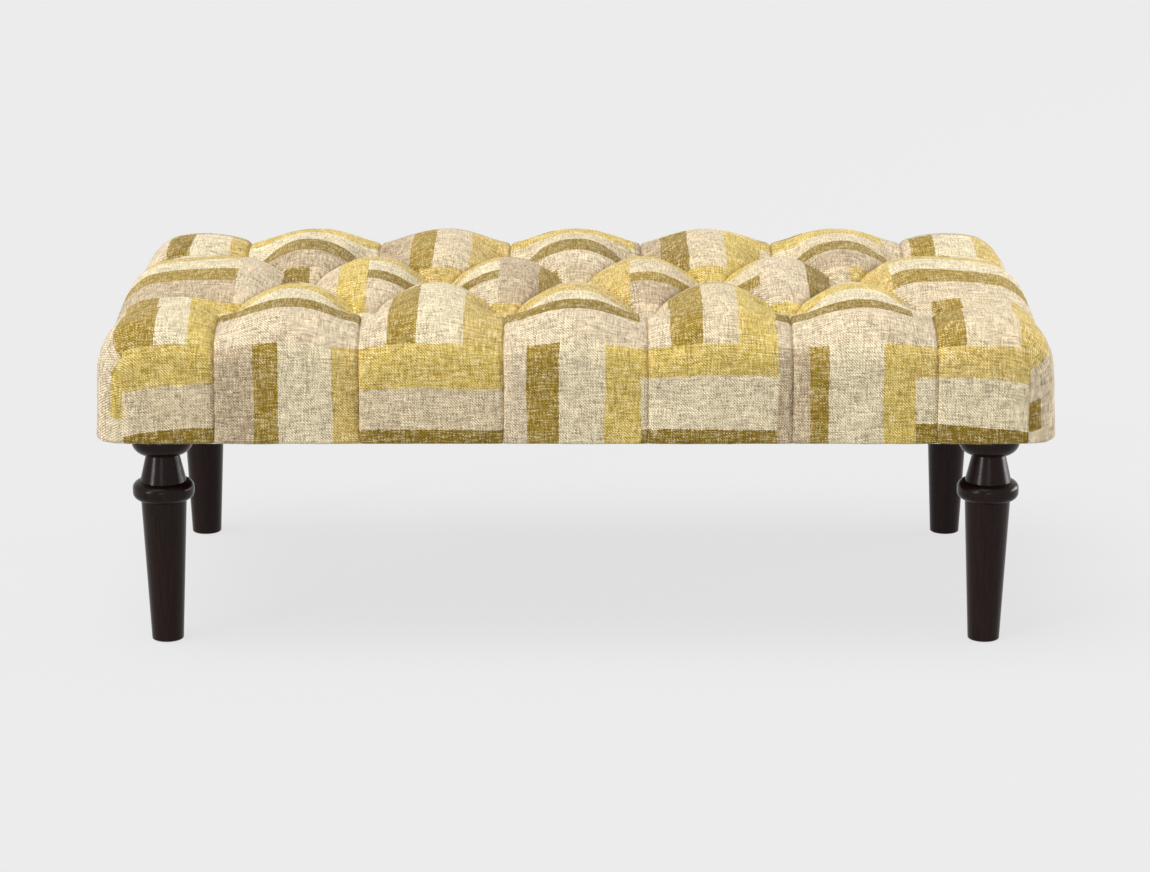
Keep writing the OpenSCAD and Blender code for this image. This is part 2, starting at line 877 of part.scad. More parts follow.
long_rail(-1);  // rail_front
long_rail(1);  // rail_back
short_rail(-1);  // rail_left
short_rail(1);  // rail_right
cross_rail(-1);  // cross_rail_left
cross_rail(1);  // cross_rail_right
deck_board();
foam_block();
batting();
cover();
pull_strips();
dust_cover();
for (k = [0 : len(CORNERS) - 1]) {
    corner_block(corner_sides[k]);
    leg(corner_sides[k]);
    glide(corner_sides[k]);
}
for (place = button_places)
    covered_button(button_xy(place));
button_backs();
tufting_twine();
twine_washers();
hanger_bolts();
t_nuts();
rail_dowels();
corner_block_screws();
deck_screws();
pull_strip_staples();
dust_cover_staples();
glide_nails();
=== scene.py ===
"""The finished look of a button tufted footstool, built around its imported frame.

Lengths are in metres. +Z is up, the front of the seat faces -Y, and the origin is on the floor under the
middle of the seat.
"""

import logging
import math
from dataclasses import dataclass, field
from enum import Enum
from typing import Any

import bpy
import numpy as np
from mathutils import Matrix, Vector, noise


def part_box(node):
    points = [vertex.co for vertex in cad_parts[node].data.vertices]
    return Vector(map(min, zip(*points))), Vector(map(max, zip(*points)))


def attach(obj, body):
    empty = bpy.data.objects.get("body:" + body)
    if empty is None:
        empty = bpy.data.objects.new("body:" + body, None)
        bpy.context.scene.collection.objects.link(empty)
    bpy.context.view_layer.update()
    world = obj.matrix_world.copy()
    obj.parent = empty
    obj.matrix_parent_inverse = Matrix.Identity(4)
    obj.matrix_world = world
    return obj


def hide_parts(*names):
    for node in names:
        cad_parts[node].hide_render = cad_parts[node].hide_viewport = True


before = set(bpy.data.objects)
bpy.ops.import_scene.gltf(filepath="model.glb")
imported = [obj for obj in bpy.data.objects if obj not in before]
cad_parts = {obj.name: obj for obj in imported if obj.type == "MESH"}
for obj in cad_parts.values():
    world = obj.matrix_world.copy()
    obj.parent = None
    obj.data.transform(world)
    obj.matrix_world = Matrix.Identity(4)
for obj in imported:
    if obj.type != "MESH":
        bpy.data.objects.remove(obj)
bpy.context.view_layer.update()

Array = np.ndarray
Socket = bpy.types.NodeSocket
Colour = tuple[float, float, float]

LOG = logging.getLogger("footstool")
ROOT = "root"
CLOTH_MAP = "cloth"
# The values that most of a noise pattern lies between, from a wide reading of it to a narrow one
NOISE_WIDE = (0.25, 0.75)
NOISE_MIDDLE = (0.28, 0.72)
NOISE_NARROW = (0.3, 0.7)
# A distance that stands for nowhere near
FAR = 9.0
# How near to a corner's sewn fold a line or a point still counts as on it
TINY = 1e-9
SEAM_SIDE = 1e-6
# Faces that meet in a sharper bend than this have a hard edge between them
SHARP_BEND = math.radians(50)


class Row(Enum):
    """The three rows of buttons, front to back."""

    FRONT = "front"
    MIDDLE = "middle"
    BACK = "back"


class Band(Enum):
    """The bands of the seat's skin below its top, downwards."""

    SHOULDER = "shoulder"
    WALL = "wall"
    HEM = "hem"


class Grain(Enum):
    """The way the grain of a piece of wood runs, as its stretch along x, y and z."""

    ALONG_X = (0.06, 1.0, 1.0)
    ALONG_Y = (1.0, 0.06, 1.0)
    ALONG_Z = (1.0, 1.0, 0.04)
    EVEN = (1.0, 1.0, 1.0)


def linear(red: int, green: int, blue: int) -> Colour:
    """Turns a colour as seen on a screen into the light that a shader works in.

    Args:
        red: Red, from 0 to 255.
        green: Green, from 0 to 255.
        blue: Blue, from 0 to 255.

    Returns:
        The same colour in linear light.
    """

    def channel(value: int) -> float:
        """One channel of the colour."""
        share = value / 255
        return share / 12.92 if share <= 0.04045 else ((share + 0.055) / 1.055) ** 2.4

    return channel(red), channel(green), channel(blue)


class Shading:
    """The nodes of one material, added step by step."""

    def __init__(self, name: str) -> None:
        """Starts an empty material.

        Args:
            name: The material's name.
        """
        self.material = bpy.data.materials.new(name)
        self.material.use_nodes = True
        self.tree = self.material.node_tree
        self.tree.nodes.clear()

    def add(self, kind: str, inputs: dict[int | str, Any], **settings: Any) -> bpy.types.Node:
        """Adds a node.

        Args:
            kind: The node's type, without its first words.
            inputs: A value or another node's socket for each input that is set.
            **settings: The node's own settings.

        Returns:
            The new node.
        """
        node = self.tree.nodes.new("ShaderNode" + kind)
        for name, value in settings.items():
            setattr(node, name, value)
        for key, value in inputs.items():
            if isinstance(value, bpy.types.NodeSocket):
                self.tree.links.new(value, node.inputs[key])
            else:
                node.inputs[key].default_value = value
        return node

    def maths(self, operation: str, *values: Any) -> Socket:
        """Does a sum on numbers and returns its socket."""
        return self.add("Math", dict(enumerate(values)), operation=operation).outputs[0]

    def vectors(self, operation: str, *values: Any) -> Socket:
        """Does a sum on vectors and returns its socket."""
        return self.add("VectorMath", dict(enumerate(values)), operation=operation).outputs[0]

    def scaled(self, vector: Socket, by: Any) -> Socket:
        """Multiplies a vector or a colour by one number and returns its socket."""
        return self.add("VectorMath", {0: vector, "Scale": by}, operation="SCALE").outputs[0]

    def mixed(self, share: Any, first: Any, second: Any) -> Socket:
        """Mixes two colours, the node's inputs 6 and 7, and returns the socket of the result."""
        return self.add("Mix", {0: share, 6: first, 7: second}, data_type="RGBA").outputs[2]

    def clouds(self, vector: Socket, scale: float, detail: float = 2.0, rough: float = 0.5) -> Socket:
        """Adds a noise pattern.

        Args:
            vector: Where the pattern is read.
            scale: Its spots per metre.
            detail: How many finer layers it has.
            rough: The strength of the finer layers.

        Returns:
            The socket of the pattern, from 0 to 1.
        """
        inputs = {"Vector": vector, "Scale": scale, "Detail": detail, "Roughness": rough}
        return self.add("TexNoise", inputs).outputs[0]

    def spread(self, value: Any, low: float, high: float, to_low: float, to_high: float) -> Socket:
        """Maps a range of values to another range, without going past its ends, and returns the socket."""
        return self.add("MapRange", {0: value, 1: low, 2: high, 3: to_low, 4: to_high}).outputs[0]

    def coloured(self, value: Socket, stops: list[tuple[float, Colour]], stepped: bool = False) -> Socket:
        """Turns a value into a colour.

        Args:
            value: A value from 0 to 1.
            stops: Places from 0 to 1, each with its colour.
            stepped: Whether a colour holds until the next place, with no blend.

        Returns:
            The socket of the colour.
        """
        node = self.add("ValToRGB", {0: value})
        ramp = node.color_ramp
        ramp.interpolation = "CONSTANT" if stepped else "LINEAR"
        while len(ramp.elements) < len(stops):
            ramp.elements.new(1.0)
        for element, (place, colour) in zip(ramp.elements, stops, strict=True):
            element.position = place
            element.color = (*colour, 1.0)
        return node.outputs[0]

    def finished(self, constants: dict[str, float], linked: dict[str, Socket], height: Socket,
                 depth: float) -> bpy.types.Material:
        """Adds the surface and its relief.

        Args:
            constants: The surface's settings that are the same all over.
            linked: The surface's settings that vary.
            height: The relief, from 0 to 1.
            depth: The relief's depth in metres.

        Returns:
            The finished material.
        """
        bump = self.add("Bump", {"Height": height, "Distance": depth, "Strength": 1.0})
        surface = self.add("BsdfPrincipled", {**constants, **linked, "Normal": bump.outputs[0]})
        self.add("OutputMaterial", {0: surface.outputs[0]})
        return self.material


@dataclass(frozen=True)
class RailFencePrint:
    """A traditional block print: four bars to a block, upright and lying in turn, in two tones each."""

    block: float = 0.190
    shift: tuple[float, float] = (0.071, 0.121)
    bar_shares: tuple[float, ...] = (0.28, 0.47, 0.75)
    wobble: float = 0.009
    wobbles: float = 9.0
    uneven_bars: float = 0.10
    first_seed: float = 10.0
    below_one: float = 0.999
    tones: tuple[Colour, ...] = (
        linear(225, 205, 173), linear(198, 176, 144),
        linear(148, 120, 28), linear(166, 136, 42),
        linear(236, 220, 184), linear(227, 207, 171),
        linear(222, 193, 100), linear(218, 188, 106),
    )

    def colour(self, make: Shading, place: Socket, fray: Socket) -> Socket:
        """Adds the print to a material.

        Args:
            make: The material being made.
            place: Where the cloth is read, in metres.
            fray: Uneven threads from 0 to 1, which break the edges of the bars.

        Returns:
            The socket of the print's colour.
        """
        part = make.add("SeparateXYZ", {0: place}).outputs
        frayed = make.spread(fray, *NOISE_WIDE, -self.wobble, self.wobble)
        loose = make.spread(make.clouds(place, self.wobbles, 1), *NOISE_WIDE, -self.wobble, self.wobble)
        nudge = make.maths("ADD", frayed, loose)
        shifted = [make.maths("ADD", part[k], self.shift[k]) for k in range(2)]
        column, row = (make.maths("ADD", make.maths("DIVIDE", value, self.block), nudge) for value in shifted)
        whole_column, whole_row = make.maths("FLOOR", column), make.maths("FLOOR", row)
        turned = make.maths("FLOORED_MODULO", make.maths("ADD", whole_column, whole_row), 2)
        reach = make.maths("SUBTRACT", make.maths("FRACT", row), make.maths("FRACT", column))
        across = make.maths("MULTIPLY_ADD", reach, turned, make.maths("FRACT", column))
        block = make.add("CombineXYZ", {0: whole_column, 1: whole_row}).outputs[0]
        bar: Any = 0.0
        for number, share in enumerate(self.bar_shares):
            seed = make.vectors("ADD", block, (0.0, 0.0, self.first_seed + number))
            chance = make.add("TexWhiteNoise", {0: seed}).outputs[0]
            edge = make.maths("MULTIPLY_ADD", chance, self.uneven_bars, share - self.uneven_bars / 2)
            bar = make.maths("ADD", bar, make.maths("GREATER_THAN", across, edge))
        seed = make.add("CombineXYZ", {0: whole_column, 1: whole_row, 2: bar}).outputs[0]
        chance = make.maths("MULTIPLY", make.add("TexWhiteNoise", {0: seed}).outputs[0], self.below_one)
        pick = make.maths("DIVIDE", make.maths("ADD", bar, chance), len(self.bar_shares) + 1)
        stops = [(number / len(self.tones), tone) for number, tone in enumerate(self.tones)]
        return make.coloured(pick, stops, stepped=True)


@dataclass(frozen=True)
class SlubbedLinen:
    """Heathered linen twill with uneven threads, printed in bars."""

    name: str
    pattern: RailFencePrint = RailFencePrint()
    undyed: Colour = linear(250, 240, 208)
    shadow_thread: Colour = linear(104, 82, 40)
    slub_run: float = 34.0
    slub_width: float = 680.0
    slub_rough: float = 0.65
    yarn: float = 0.00120
    yarn_run: float = 7.0
    twill_pitch: float = 0.0038
    rib_bend: float = 1.6
    rib_edge: float = 0.6
    weft_on_top: tuple[float, float] = (0.22, 0.78)
    light_yarns: tuple[float, ...] = (0.54, 0.92, 0.0, 0.44)
    dark_yarns: tuple[float, ...] = (0.46, 0.08, 0.0, 0.50)
    weft_shade: tuple[float, float] = (0.72, 1.26)
    warp_shade: tuple[float, float] = (0.78, 1.20)
    yarn_shade: tuple[float, float] = (0.88, 1.14)
    wear_shade: tuple[float, float] = (0.90, 1.10)
    # Painted shade in the grooves between the twill ribs, which also strengthens the twill's diagonal lines
    rib_line_and_groove_shade: tuple[float, float] = (0.74, 1.16)
    wear_spots: float = 26.0
    wear_rough: float = 0.6
    rib_relief: float = 0.4
    relief: float = 0.0008
    roughness: float = 0.93
    sheen: float = 0.10
    gloss: float = 0.2

    def material(self) -> bpy.types.Material:
        """Builds the cloth's material.

        Returns:
            The material.
        """
        make = Shading(self.name)
        place = make.add("UVMap", {}, uv_map=CLOTH_MAP).outputs[0]
        weft, warp = (
            make.clouds(make.vectors("MULTIPLY", place, stretch), 1, 3, self.slub_rough)
            for stretch in ((self.slub_run, self.slub_width, 1), (self.slub_width, self.slub_run, 1))
        )
        threads = make.maths("MULTIPLY", make.maths("ADD", weft, warp), 0.5)
        part = make.add("SeparateXYZ", {0: place}).outputs
        laid, standing = self._yarns(make, part[0], part[1], 1.0), self._yarns(make, part[1], part[0], 2.0)
        ribs = self._ribs(make, part, laid)
        laid_share = make.spread(ribs, 0, 1, *self.weft_on_top)
        yarn = make.maths("MULTIPLY_ADD", make.maths("SUBTRACT", laid, standing), laid_share, standing)
        colour = self.pattern.colour(make, place, threads)
        for share, tone in ((self.light_yarns, self.undyed), (self.dark_yarns, self.shadow_thread)):
            colour = make.mixed(make.spread(yarn, *share), colour, (*tone, 1))
        wear = make.clouds(place, self.wear_spots, 4, self.wear_rough)
        # The last factor, from the ribs, is painted shade in the grooves between the twill ribs, over the
        # bump's own relief
        shade = make.spread(weft, *NOISE_MIDDLE, *self.weft_shade)
        for value, reach, shades in (
            (warp, NOISE_MIDDLE, self.warp_shade), (yarn, (0, 1), self.yarn_shade),
            (wear, NOISE_MIDDLE, self.wear_shade), (ribs, (0, 1), self.rib_line_and_groove_shade),
        ):
            shade = make.maths("MULTIPLY", shade, make.spread(value, *reach, *shades))
        height = make.maths("ADD", make.maths("MULTIPLY", ribs, self.rib_relief),
                            make.maths("MULTIPLY", threads, 1 - self.rib_relief))
        constants = {"Roughness": self.roughness, "Sheen Weight": self.sheen, "Sheen Roughness": 0.5,
                     "Specular IOR Level": self.gloss}
        return make.finished(constants, {"Base Color": make.scaled(colour, shade)}, height, self.relief)

    def _yarns(self, make: Shading, along: Socket, across: Socket, seed: float) -> Socket:
        """Parallel yarns whose shade changes from one to the next and along each.

        Args:
            make: The material being made.
            along: The place along the yarns, in metres.
            across: The place across them, in metres.
            seed: A number that makes one set of yarns differ from another.

        Returns:
            The socket of the shade, from 0 to 1.
        """
        line = make.maths("FLOOR", make.maths("DIVIDE", across, self.yarn))
        start = make.add("TexWhiteNoise", {"W": line}, noise_dimensions="1D").outputs[0]
        run = make.maths("DIVIDE", along, self.yarn_run * self.yarn)
        step = make.maths("FLOOR", make.maths("ADD", run, start))
        cell = make.add("CombineXYZ", {0: line, 1: step, 2: seed}).outputs[0]
        return make.add("TexWhiteNoise", {0: cell}).outputs[0]

    def _ribs(self, make: Shading, part: Any, uneven: Socket) -> Socket:
        """The slanting ribs of the weave.

        Args:
            make: The material being made.
            part: The place on the cloth, along and across, in metres.
            uneven: The shade of the yarns, which bends the ribs.

        Returns:
            The socket of the ribs, from 0 to 1.
        """
        slant = make.maths("MULTIPLY", make.maths("ADD", part[0], part[1]), 2 * math.pi / self.twill_pitch)
        bend = make.maths("MULTIPLY", uneven, self.rib_bend)
        ribs = make.maths("SINE", make.maths("ADD", slant, bend))
        return make.spread(ribs, -self.rib_edge, self.rib_edge, 0, 1)


@dataclass(frozen=True)
class StainedWood:
    """Turned hardwood with a dark stain under satin lacquer."""

    name: str
    dark: Colour = linear(19, 10, 8)
    light: Colour = linear(44, 24, 19)
    stain_at: tuple[float, float] = (0.3, 0.75)
    grain_spots: tuple[float, ...] = (420, 420, 9)
    grain_rough: float = 0.6
    pore_spots: tuple[float, ...] = (1500, 1500, 40)
    pore_shade: tuple[float, ...] = (0.35, 0.6, 0.7, 1.1)
    lacquer_spots: float = 60
    roughness: tuple[float, float] = (0.20, 0.26)
    gloss: float = 0.15
    relief: float = 0.00006

    def material(self) -> bpy.types.Material:
        """Builds the wood's material.

        Returns:
            The material.
        """
        make = Shading(self.name)
        place = make.add("TexCoord", {}).outputs["Object"]
        grain = make.clouds(make.vectors("MULTIPLY", place, self.grain_spots), 1, 4, self.grain_rough)
        pores = make.clouds(make.vectors("MULTIPLY", place, self.pore_spots), 1)
        colour = make.coloured(grain, list(zip(self.stain_at, (self.dark, self.light), strict=True)))
        colour = make.scaled(colour, make.spread(pores, *self.pore_shade))
        rough = make.spread(make.clouds(place, self.lacquer_spots), *NOISE_NARROW, *self.roughness)
        linked = {"Base Color": colour, "Roughness": rough}
        return make.finished({"Specular IOR Level": self.gloss}, linked, pores, self.relief)


@dataclass(frozen=True)
class GrainedFinish:
    """A plain material with a grain: sawn wood, felted cloth, foam, wire or moulded plastic."""

    name: str
    dark: Colour
    light: Colour
    spots: float
    grain: Grain = Grain.EVEN
    roughness: float = 0.8
    metallic: float = 0.0
    sheen: float = 0.0
    depth: float = 0.0003
    coarse_rough: float = 0.55
    finer: float = 6.0
    fine_share: float = 0.35
    colours_at: tuple[float, float] = (0.32, 0.68)
    uneven_gloss: float = 0.1

    def material(self) -> bpy.types.Material:
        """Builds the material.

        Returns:
            The material.
        """
        make = Shading(self.name)
        place = make.add("TexCoord", {}).outputs["Object"]
        stretched = make.vectors("MULTIPLY", place, self.grain.value)
        coarse = make.clouds(stretched, self.spots, 4, self.coarse_rough)
        fine = make.clouds(stretched, self.finer * self.spots)
        grain = make.maths("ADD", make.maths("MULTIPLY", coarse, 1 - self.fine_share),
                           make.maths("MULTIPLY", fine, self.fine_share))
        colour = make.coloured(grain, list(zip(self.colours_at, (self.dark, self.light), strict=True)))
        glossy, dull = (1 - self.uneven_gloss) * self.roughness, (1 + self.uneven_gloss) * self.roughness
        rough = make.spread(fine, *NOISE_NARROW, glossy, min(1.0, dull))
        constants = {"Metallic": self.metallic, "Sheen Weight": self.sheen}
        return make.finished(constants, {"Base Color": colour, "Roughness": rough}, grain, self.depth)


@dataclass(frozen=True)
class WovenFinish:
    """A plain weave with a thread over and a thread under."""

    name: str
    dark: Colour
    light: Colour
    thread: float
    slubs: float = 240.0
    weave_share: float = 0.3
    roughness: float = 0.9
    sheen: float = 0.1
    depth: float = 0.0002

    def material(self) -> bpy.types.Material:
        """Builds the cloth's material.

        Returns:
            The material.
        """
        make = Shading(self.name)
        place = make.add("TexCoord", {}).outputs["Object"]
        part = make.add("SeparateXYZ", {0: make.scaled(place, math.pi / self.thread)}).outputs
        weave = make.maths("MULTIPLY", make.maths("SINE", part[0]), make.maths("SINE", part[1]))
        weave = make.spread(weave, -1, 1, 0, 1)
        slub = make.maths("MULTIPLY", make.clouds(place, self.slubs, 3), 1 - self.weave_share)
        tone = make.maths("MULTIPLY_ADD", weave, self.weave_share, slub)
        colour = make.coloured(tone, list(zip(NOISE_WIDE, (self.dark, self.light), strict=True)))
        constants = {"Roughness": self.roughness, "Sheen Weight": self.sheen}
        return make.finished(constants, {"Base Color": colour}, weave, self.depth)


class Finishes:
    """Every material of the footstool, built once each."""

    def __init__(self) -> None:
        """Builds the materials."""
        pine = linear(196, 158, 104), linear(222, 188, 136)
        self.cover = SlubbedLinen("cover_linen").material()
        self.leg = StainedWood("stained_leg_wood").material()
        self.pine_x = GrainedFinish("sawn_pine_lengthways", *pine, 120, Grain.ALONG_X, 0.7).material()
        self.pine_y = GrainedFinish("sawn_pine_crossways", *pine, 120, Grain.ALONG_Y, 0.7).material()
        self.plywood = GrainedFinish("birch_plywood", linear(205, 174, 126), linear(226, 200, 156), 60,
                                     Grain.ALONG_X, 0.65).material()
        self.dowel = GrainedFinish("beech_dowel", linear(208, 172, 124), linear(226, 196, 152), 300,
                                   Grain.ALONG_Y, 0.6).material()
        self.foam = GrainedFinish("seat_foam", linear(226, 212, 160), linear(244, 234, 192), 500,
                                  roughness=0.95, depth=0.0008).material()
        self.batting = GrainedFinish("polyester_batting", linear(226, 226, 222), linear(250, 250, 248), 180,
                                     roughness=0.95, sheen=0.3, depth=0.0015).material()
        self.calico = WovenFinish("strip_calico", linear(206, 198, 178), linear(234, 228, 212),
                                  thread=0.0009).material()
        self.cambric = GrainedFinish("black_cambric", linear(20, 20, 22), linear(44, 44, 48), 900,
                                     roughness=0.88, sheen=0.05, depth=0.0002).material()
        self.twine = GrainedFinish("waxed_twine", linear(188, 172, 130), linear(222, 208, 170), 900,
                                   Grain.ALONG_Z, 0.6).material()
        self.fibre = GrainedFinish("washer_fibre_board", linear(104, 86, 58), linear(140, 118, 84), 700,
                                   roughness=0.85).material()
        self.steel = GrainedFinish("zinc_plated_steel", linear(150, 152, 156), linear(196, 198, 202), 400,
                                   roughness=0.35, metallic=1.0, depth=0.00003).material()
        self.wire = GrainedFinish("staple_wire", linear(176, 178, 182), linear(214, 216, 220), 900,
                                  roughness=0.3, metallic=1.0, depth=0.00003).material()
        self.nylon = GrainedFinish("glide_nylon", linear(22, 20, 19), linear(38, 35, 33), 600,
                                   roughness=0.5, depth=0.0001).material()


def ease(share: Array) -> Array:
    """Rises from 0 to 1 and levels off there."""
    return 1 - (1 - np.minimum(1, share)) ** 2


def smooth(share: Array) -> Array:
    """Rises from 0 to 1 with no corner at either end."""
    held = np.clip(share, 0, 1)
    return held * held * (3 - 2 * held)


def wave(value: Array) -> Array:
    """0 at a whole number and 0.5 halfway between two."""
    return np.abs(value - np.round(value))


def over(value: Array, half: float) -> Array:
    """How far a coordinate lies outside a half width."""
    return np.maximum(0, np.abs(value) - half)


def outline(turn: Array, power: float) -> tuple[Array, Array]:
    """A quarter of a rounded corner as its two coordinates, from 0 to 1, for each angle."""
    return np.cos(turn) ** (2 / power), np.sin(turn) ** (2 / power)


def drawn_in(share: Array, pull: float) -> Array:
    """Moves places towards the nearest whole number, so that the lines of a mesh crowd there.

    Args:
        share: The places.
        pull: From 0, which moves nothing, to nearly 1.

    Returns:
        The moved places.
    """
    return share - pull * np.sin(2 * np.pi * share) / (2 * np.pi)


@dataclass
class SeatShape:
    """The outside of the tufted seat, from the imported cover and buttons."""

    wall_t: float = 0.016
    shoulder_r: float = 0.052
    corner_power: float = 3.0
    rim_fall: float = 0.016
    fold_depth: float = 0.026
    pleat_depth: float = 0.020
    wall_pleat: float = 0.0042
    pleat_width: float = 0.0055
    crown_power: float = 0.76
    bowl_power: float = 1.0
    bowl_run: float = 0.055
    hem_r: float = 0.0045
    seam_share: float = 0.2
    seam_top: float = 0.355
    pit_below_rim: float = 0.0167
    pit_reach: float = 0.33
    pleat_run: float = 0.4
    half_w: float = field(init=False)
    half_d: float = field(init=False)
    lean: float = field(init=False)

    def __post_init__(self) -> None:
        """Reads the sizes that the frame gives."""
        low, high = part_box("cover")
        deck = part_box("deck_board")[1]
        self.half_w = deck[0] + self.wall_t
        self.half_d = deck[1] + self.wall_t
        self.lean = high[0] - self.half_w
        self.top_z = high[2]
        self.hem_z = low[2]
        self.buttons = np.array([middle_of(name) for name in button_names()])
        low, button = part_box("button_front_1")
        self.rim_z = low[2]
        self.button_r = (button[0] - low[0]) / 2
        self.tuft_w = self.buttons[:, 0].max()
        self.tuft_d = self.buttons[:, 1].max()
        self.columns = sum(name.startswith("button_front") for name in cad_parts) - 1
        self.pitch = 2 * self.tuft_w / self.columns
        self.row = self.tuft_d
        self.pit_depth = self.top_z - self.rim_z + self.pit_below_rim
        self.reach = self.pit_reach * self.pitch
        self.run = self.pleat_run * (high[1] - self.tuft_d)

    def counted(self, x: Array, y: Array) -> tuple[Array, Array]:
        """Places from the front left button, counted in columns and in rows of buttons."""
        return (x + self.tuft_w) / self.pitch, (y + self.tuft_d) / self.row

    def picked(self, x: Array, y: Array, inner: Array, front: Array, end: Array, corner: Array) -> Array:
        """Picks a value for each place by the part of the seat it lies in.

        Args:
            x: The places along the seat.
            y: The places across it.
            inner: The value between the buttons.
            front: The value in front of them and behind them.
            end: The value beyond the outer columns.
            corner: The value at the corners.

        Returns:
            One value for each place.
        """
        beyond, before = over(x, self.tuft_w) > 0, over(y, self.tuft_d) > 0
        return np.where(beyond, np.where(before, corner, end), np.where(before, front, inner))

    def swell(self, x: Array, y: Array) -> Array:
        """0 in every fold and pleat, 1 on the crown of every tuft.

        Args:
            x: The places along the seat.
            y: The places across it.

        Returns:
            One value for each place.
        """
        along, back = self.counted(x, y)
        inner = ease(2 * wave(along + back / 2)) * ease(2 * wave(along - back / 2))
        corner = ease(2 * (over(x, self.tuft_w) / self.pitch)) * ease(over(y, self.tuft_d) / self.row)
        share = self.picked(x, y, inner, ease(2 * wave(along)) ** 2, ease(2 * wave(back / 2)) ** 2, corner)
        bowl = self.bowl_power * np.exp(-(self.button_gap(x, y) / self.bowl_run) ** 2)
        return share ** (self.crown_power + bowl)

    def button_gap(self, x: Array, y: Array) -> Array:
        """Distance from each place to the middle of the nearest button."""
        return np.min(np.hypot(x[:, None] - self.buttons[:, 0], y[:, None] - self.buttons[:, 1]), axis=1)

    def crease_gap(self, x: Array, y: Array) -> Array:
        """Distance from each place on top of the seat to the nearest fold.

        Args:
            x: The places along the seat.
            y: The places across it.

        Returns:
            One distance for each place.
        """
        along, back = self.counted(x, y)
        steep = math.hypot(1 / self.pitch, 1 / (2 * self.row))
        inner = np.minimum(wave(along + back / 2), wave(along - back / 2)) / steep
        corner = np.minimum(over(x, self.tuft_w), over(y, self.tuft_d))
        return self.picked(x, y, inner, wave(along) * self.pitch, wave(back / 2) * 2 * self.row, corner)

    def outside(self, x: Array, y: Array) -> Array:
        """Distance from each place to the field of buttons, 0 within it."""
        return np.hypot(over(x, self.tuft_w), over(y, self.tuft_d))

    def rise(self, x: Array, y: Array) -> Array:
        """Height of the bottom of a fold above the button pits."""
        return ((self.pit_depth - self.fold_depth) * ease(self.button_gap(x, y) / self.reach)
                + (self.fold_depth - self.pleat_depth) * np.minimum(1, self.outside(x, y) / self.run))

    def fall(self, x: Array, y: Array) -> Array:
        """Fall of the tufts from the outer buttons towards the rim."""
        return self.rim_fall * (self.outside(x, y) / (self.half_d - self.tuft_d)) ** 2


def middle_of(node: str) -> tuple[float, float]:
    """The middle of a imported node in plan."""
    low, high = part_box(node)
    return (low[0] + high[0]) / 2, (low[1] + high[1]) / 2


def button_names() -> list[str]:
    """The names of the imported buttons, row by row."""
    names = sorted(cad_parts)
    return [name for row in Row for name in names if name.startswith(f"button_{row.value}_")]


@dataclass(frozen=True)
class Fineness:
    """How many cells a skin of the seat is made of."""

    fold: int
    rim: int
    corner: int
    shoulder: int
    wall: int
    hem: int
    pull: float = 0.66


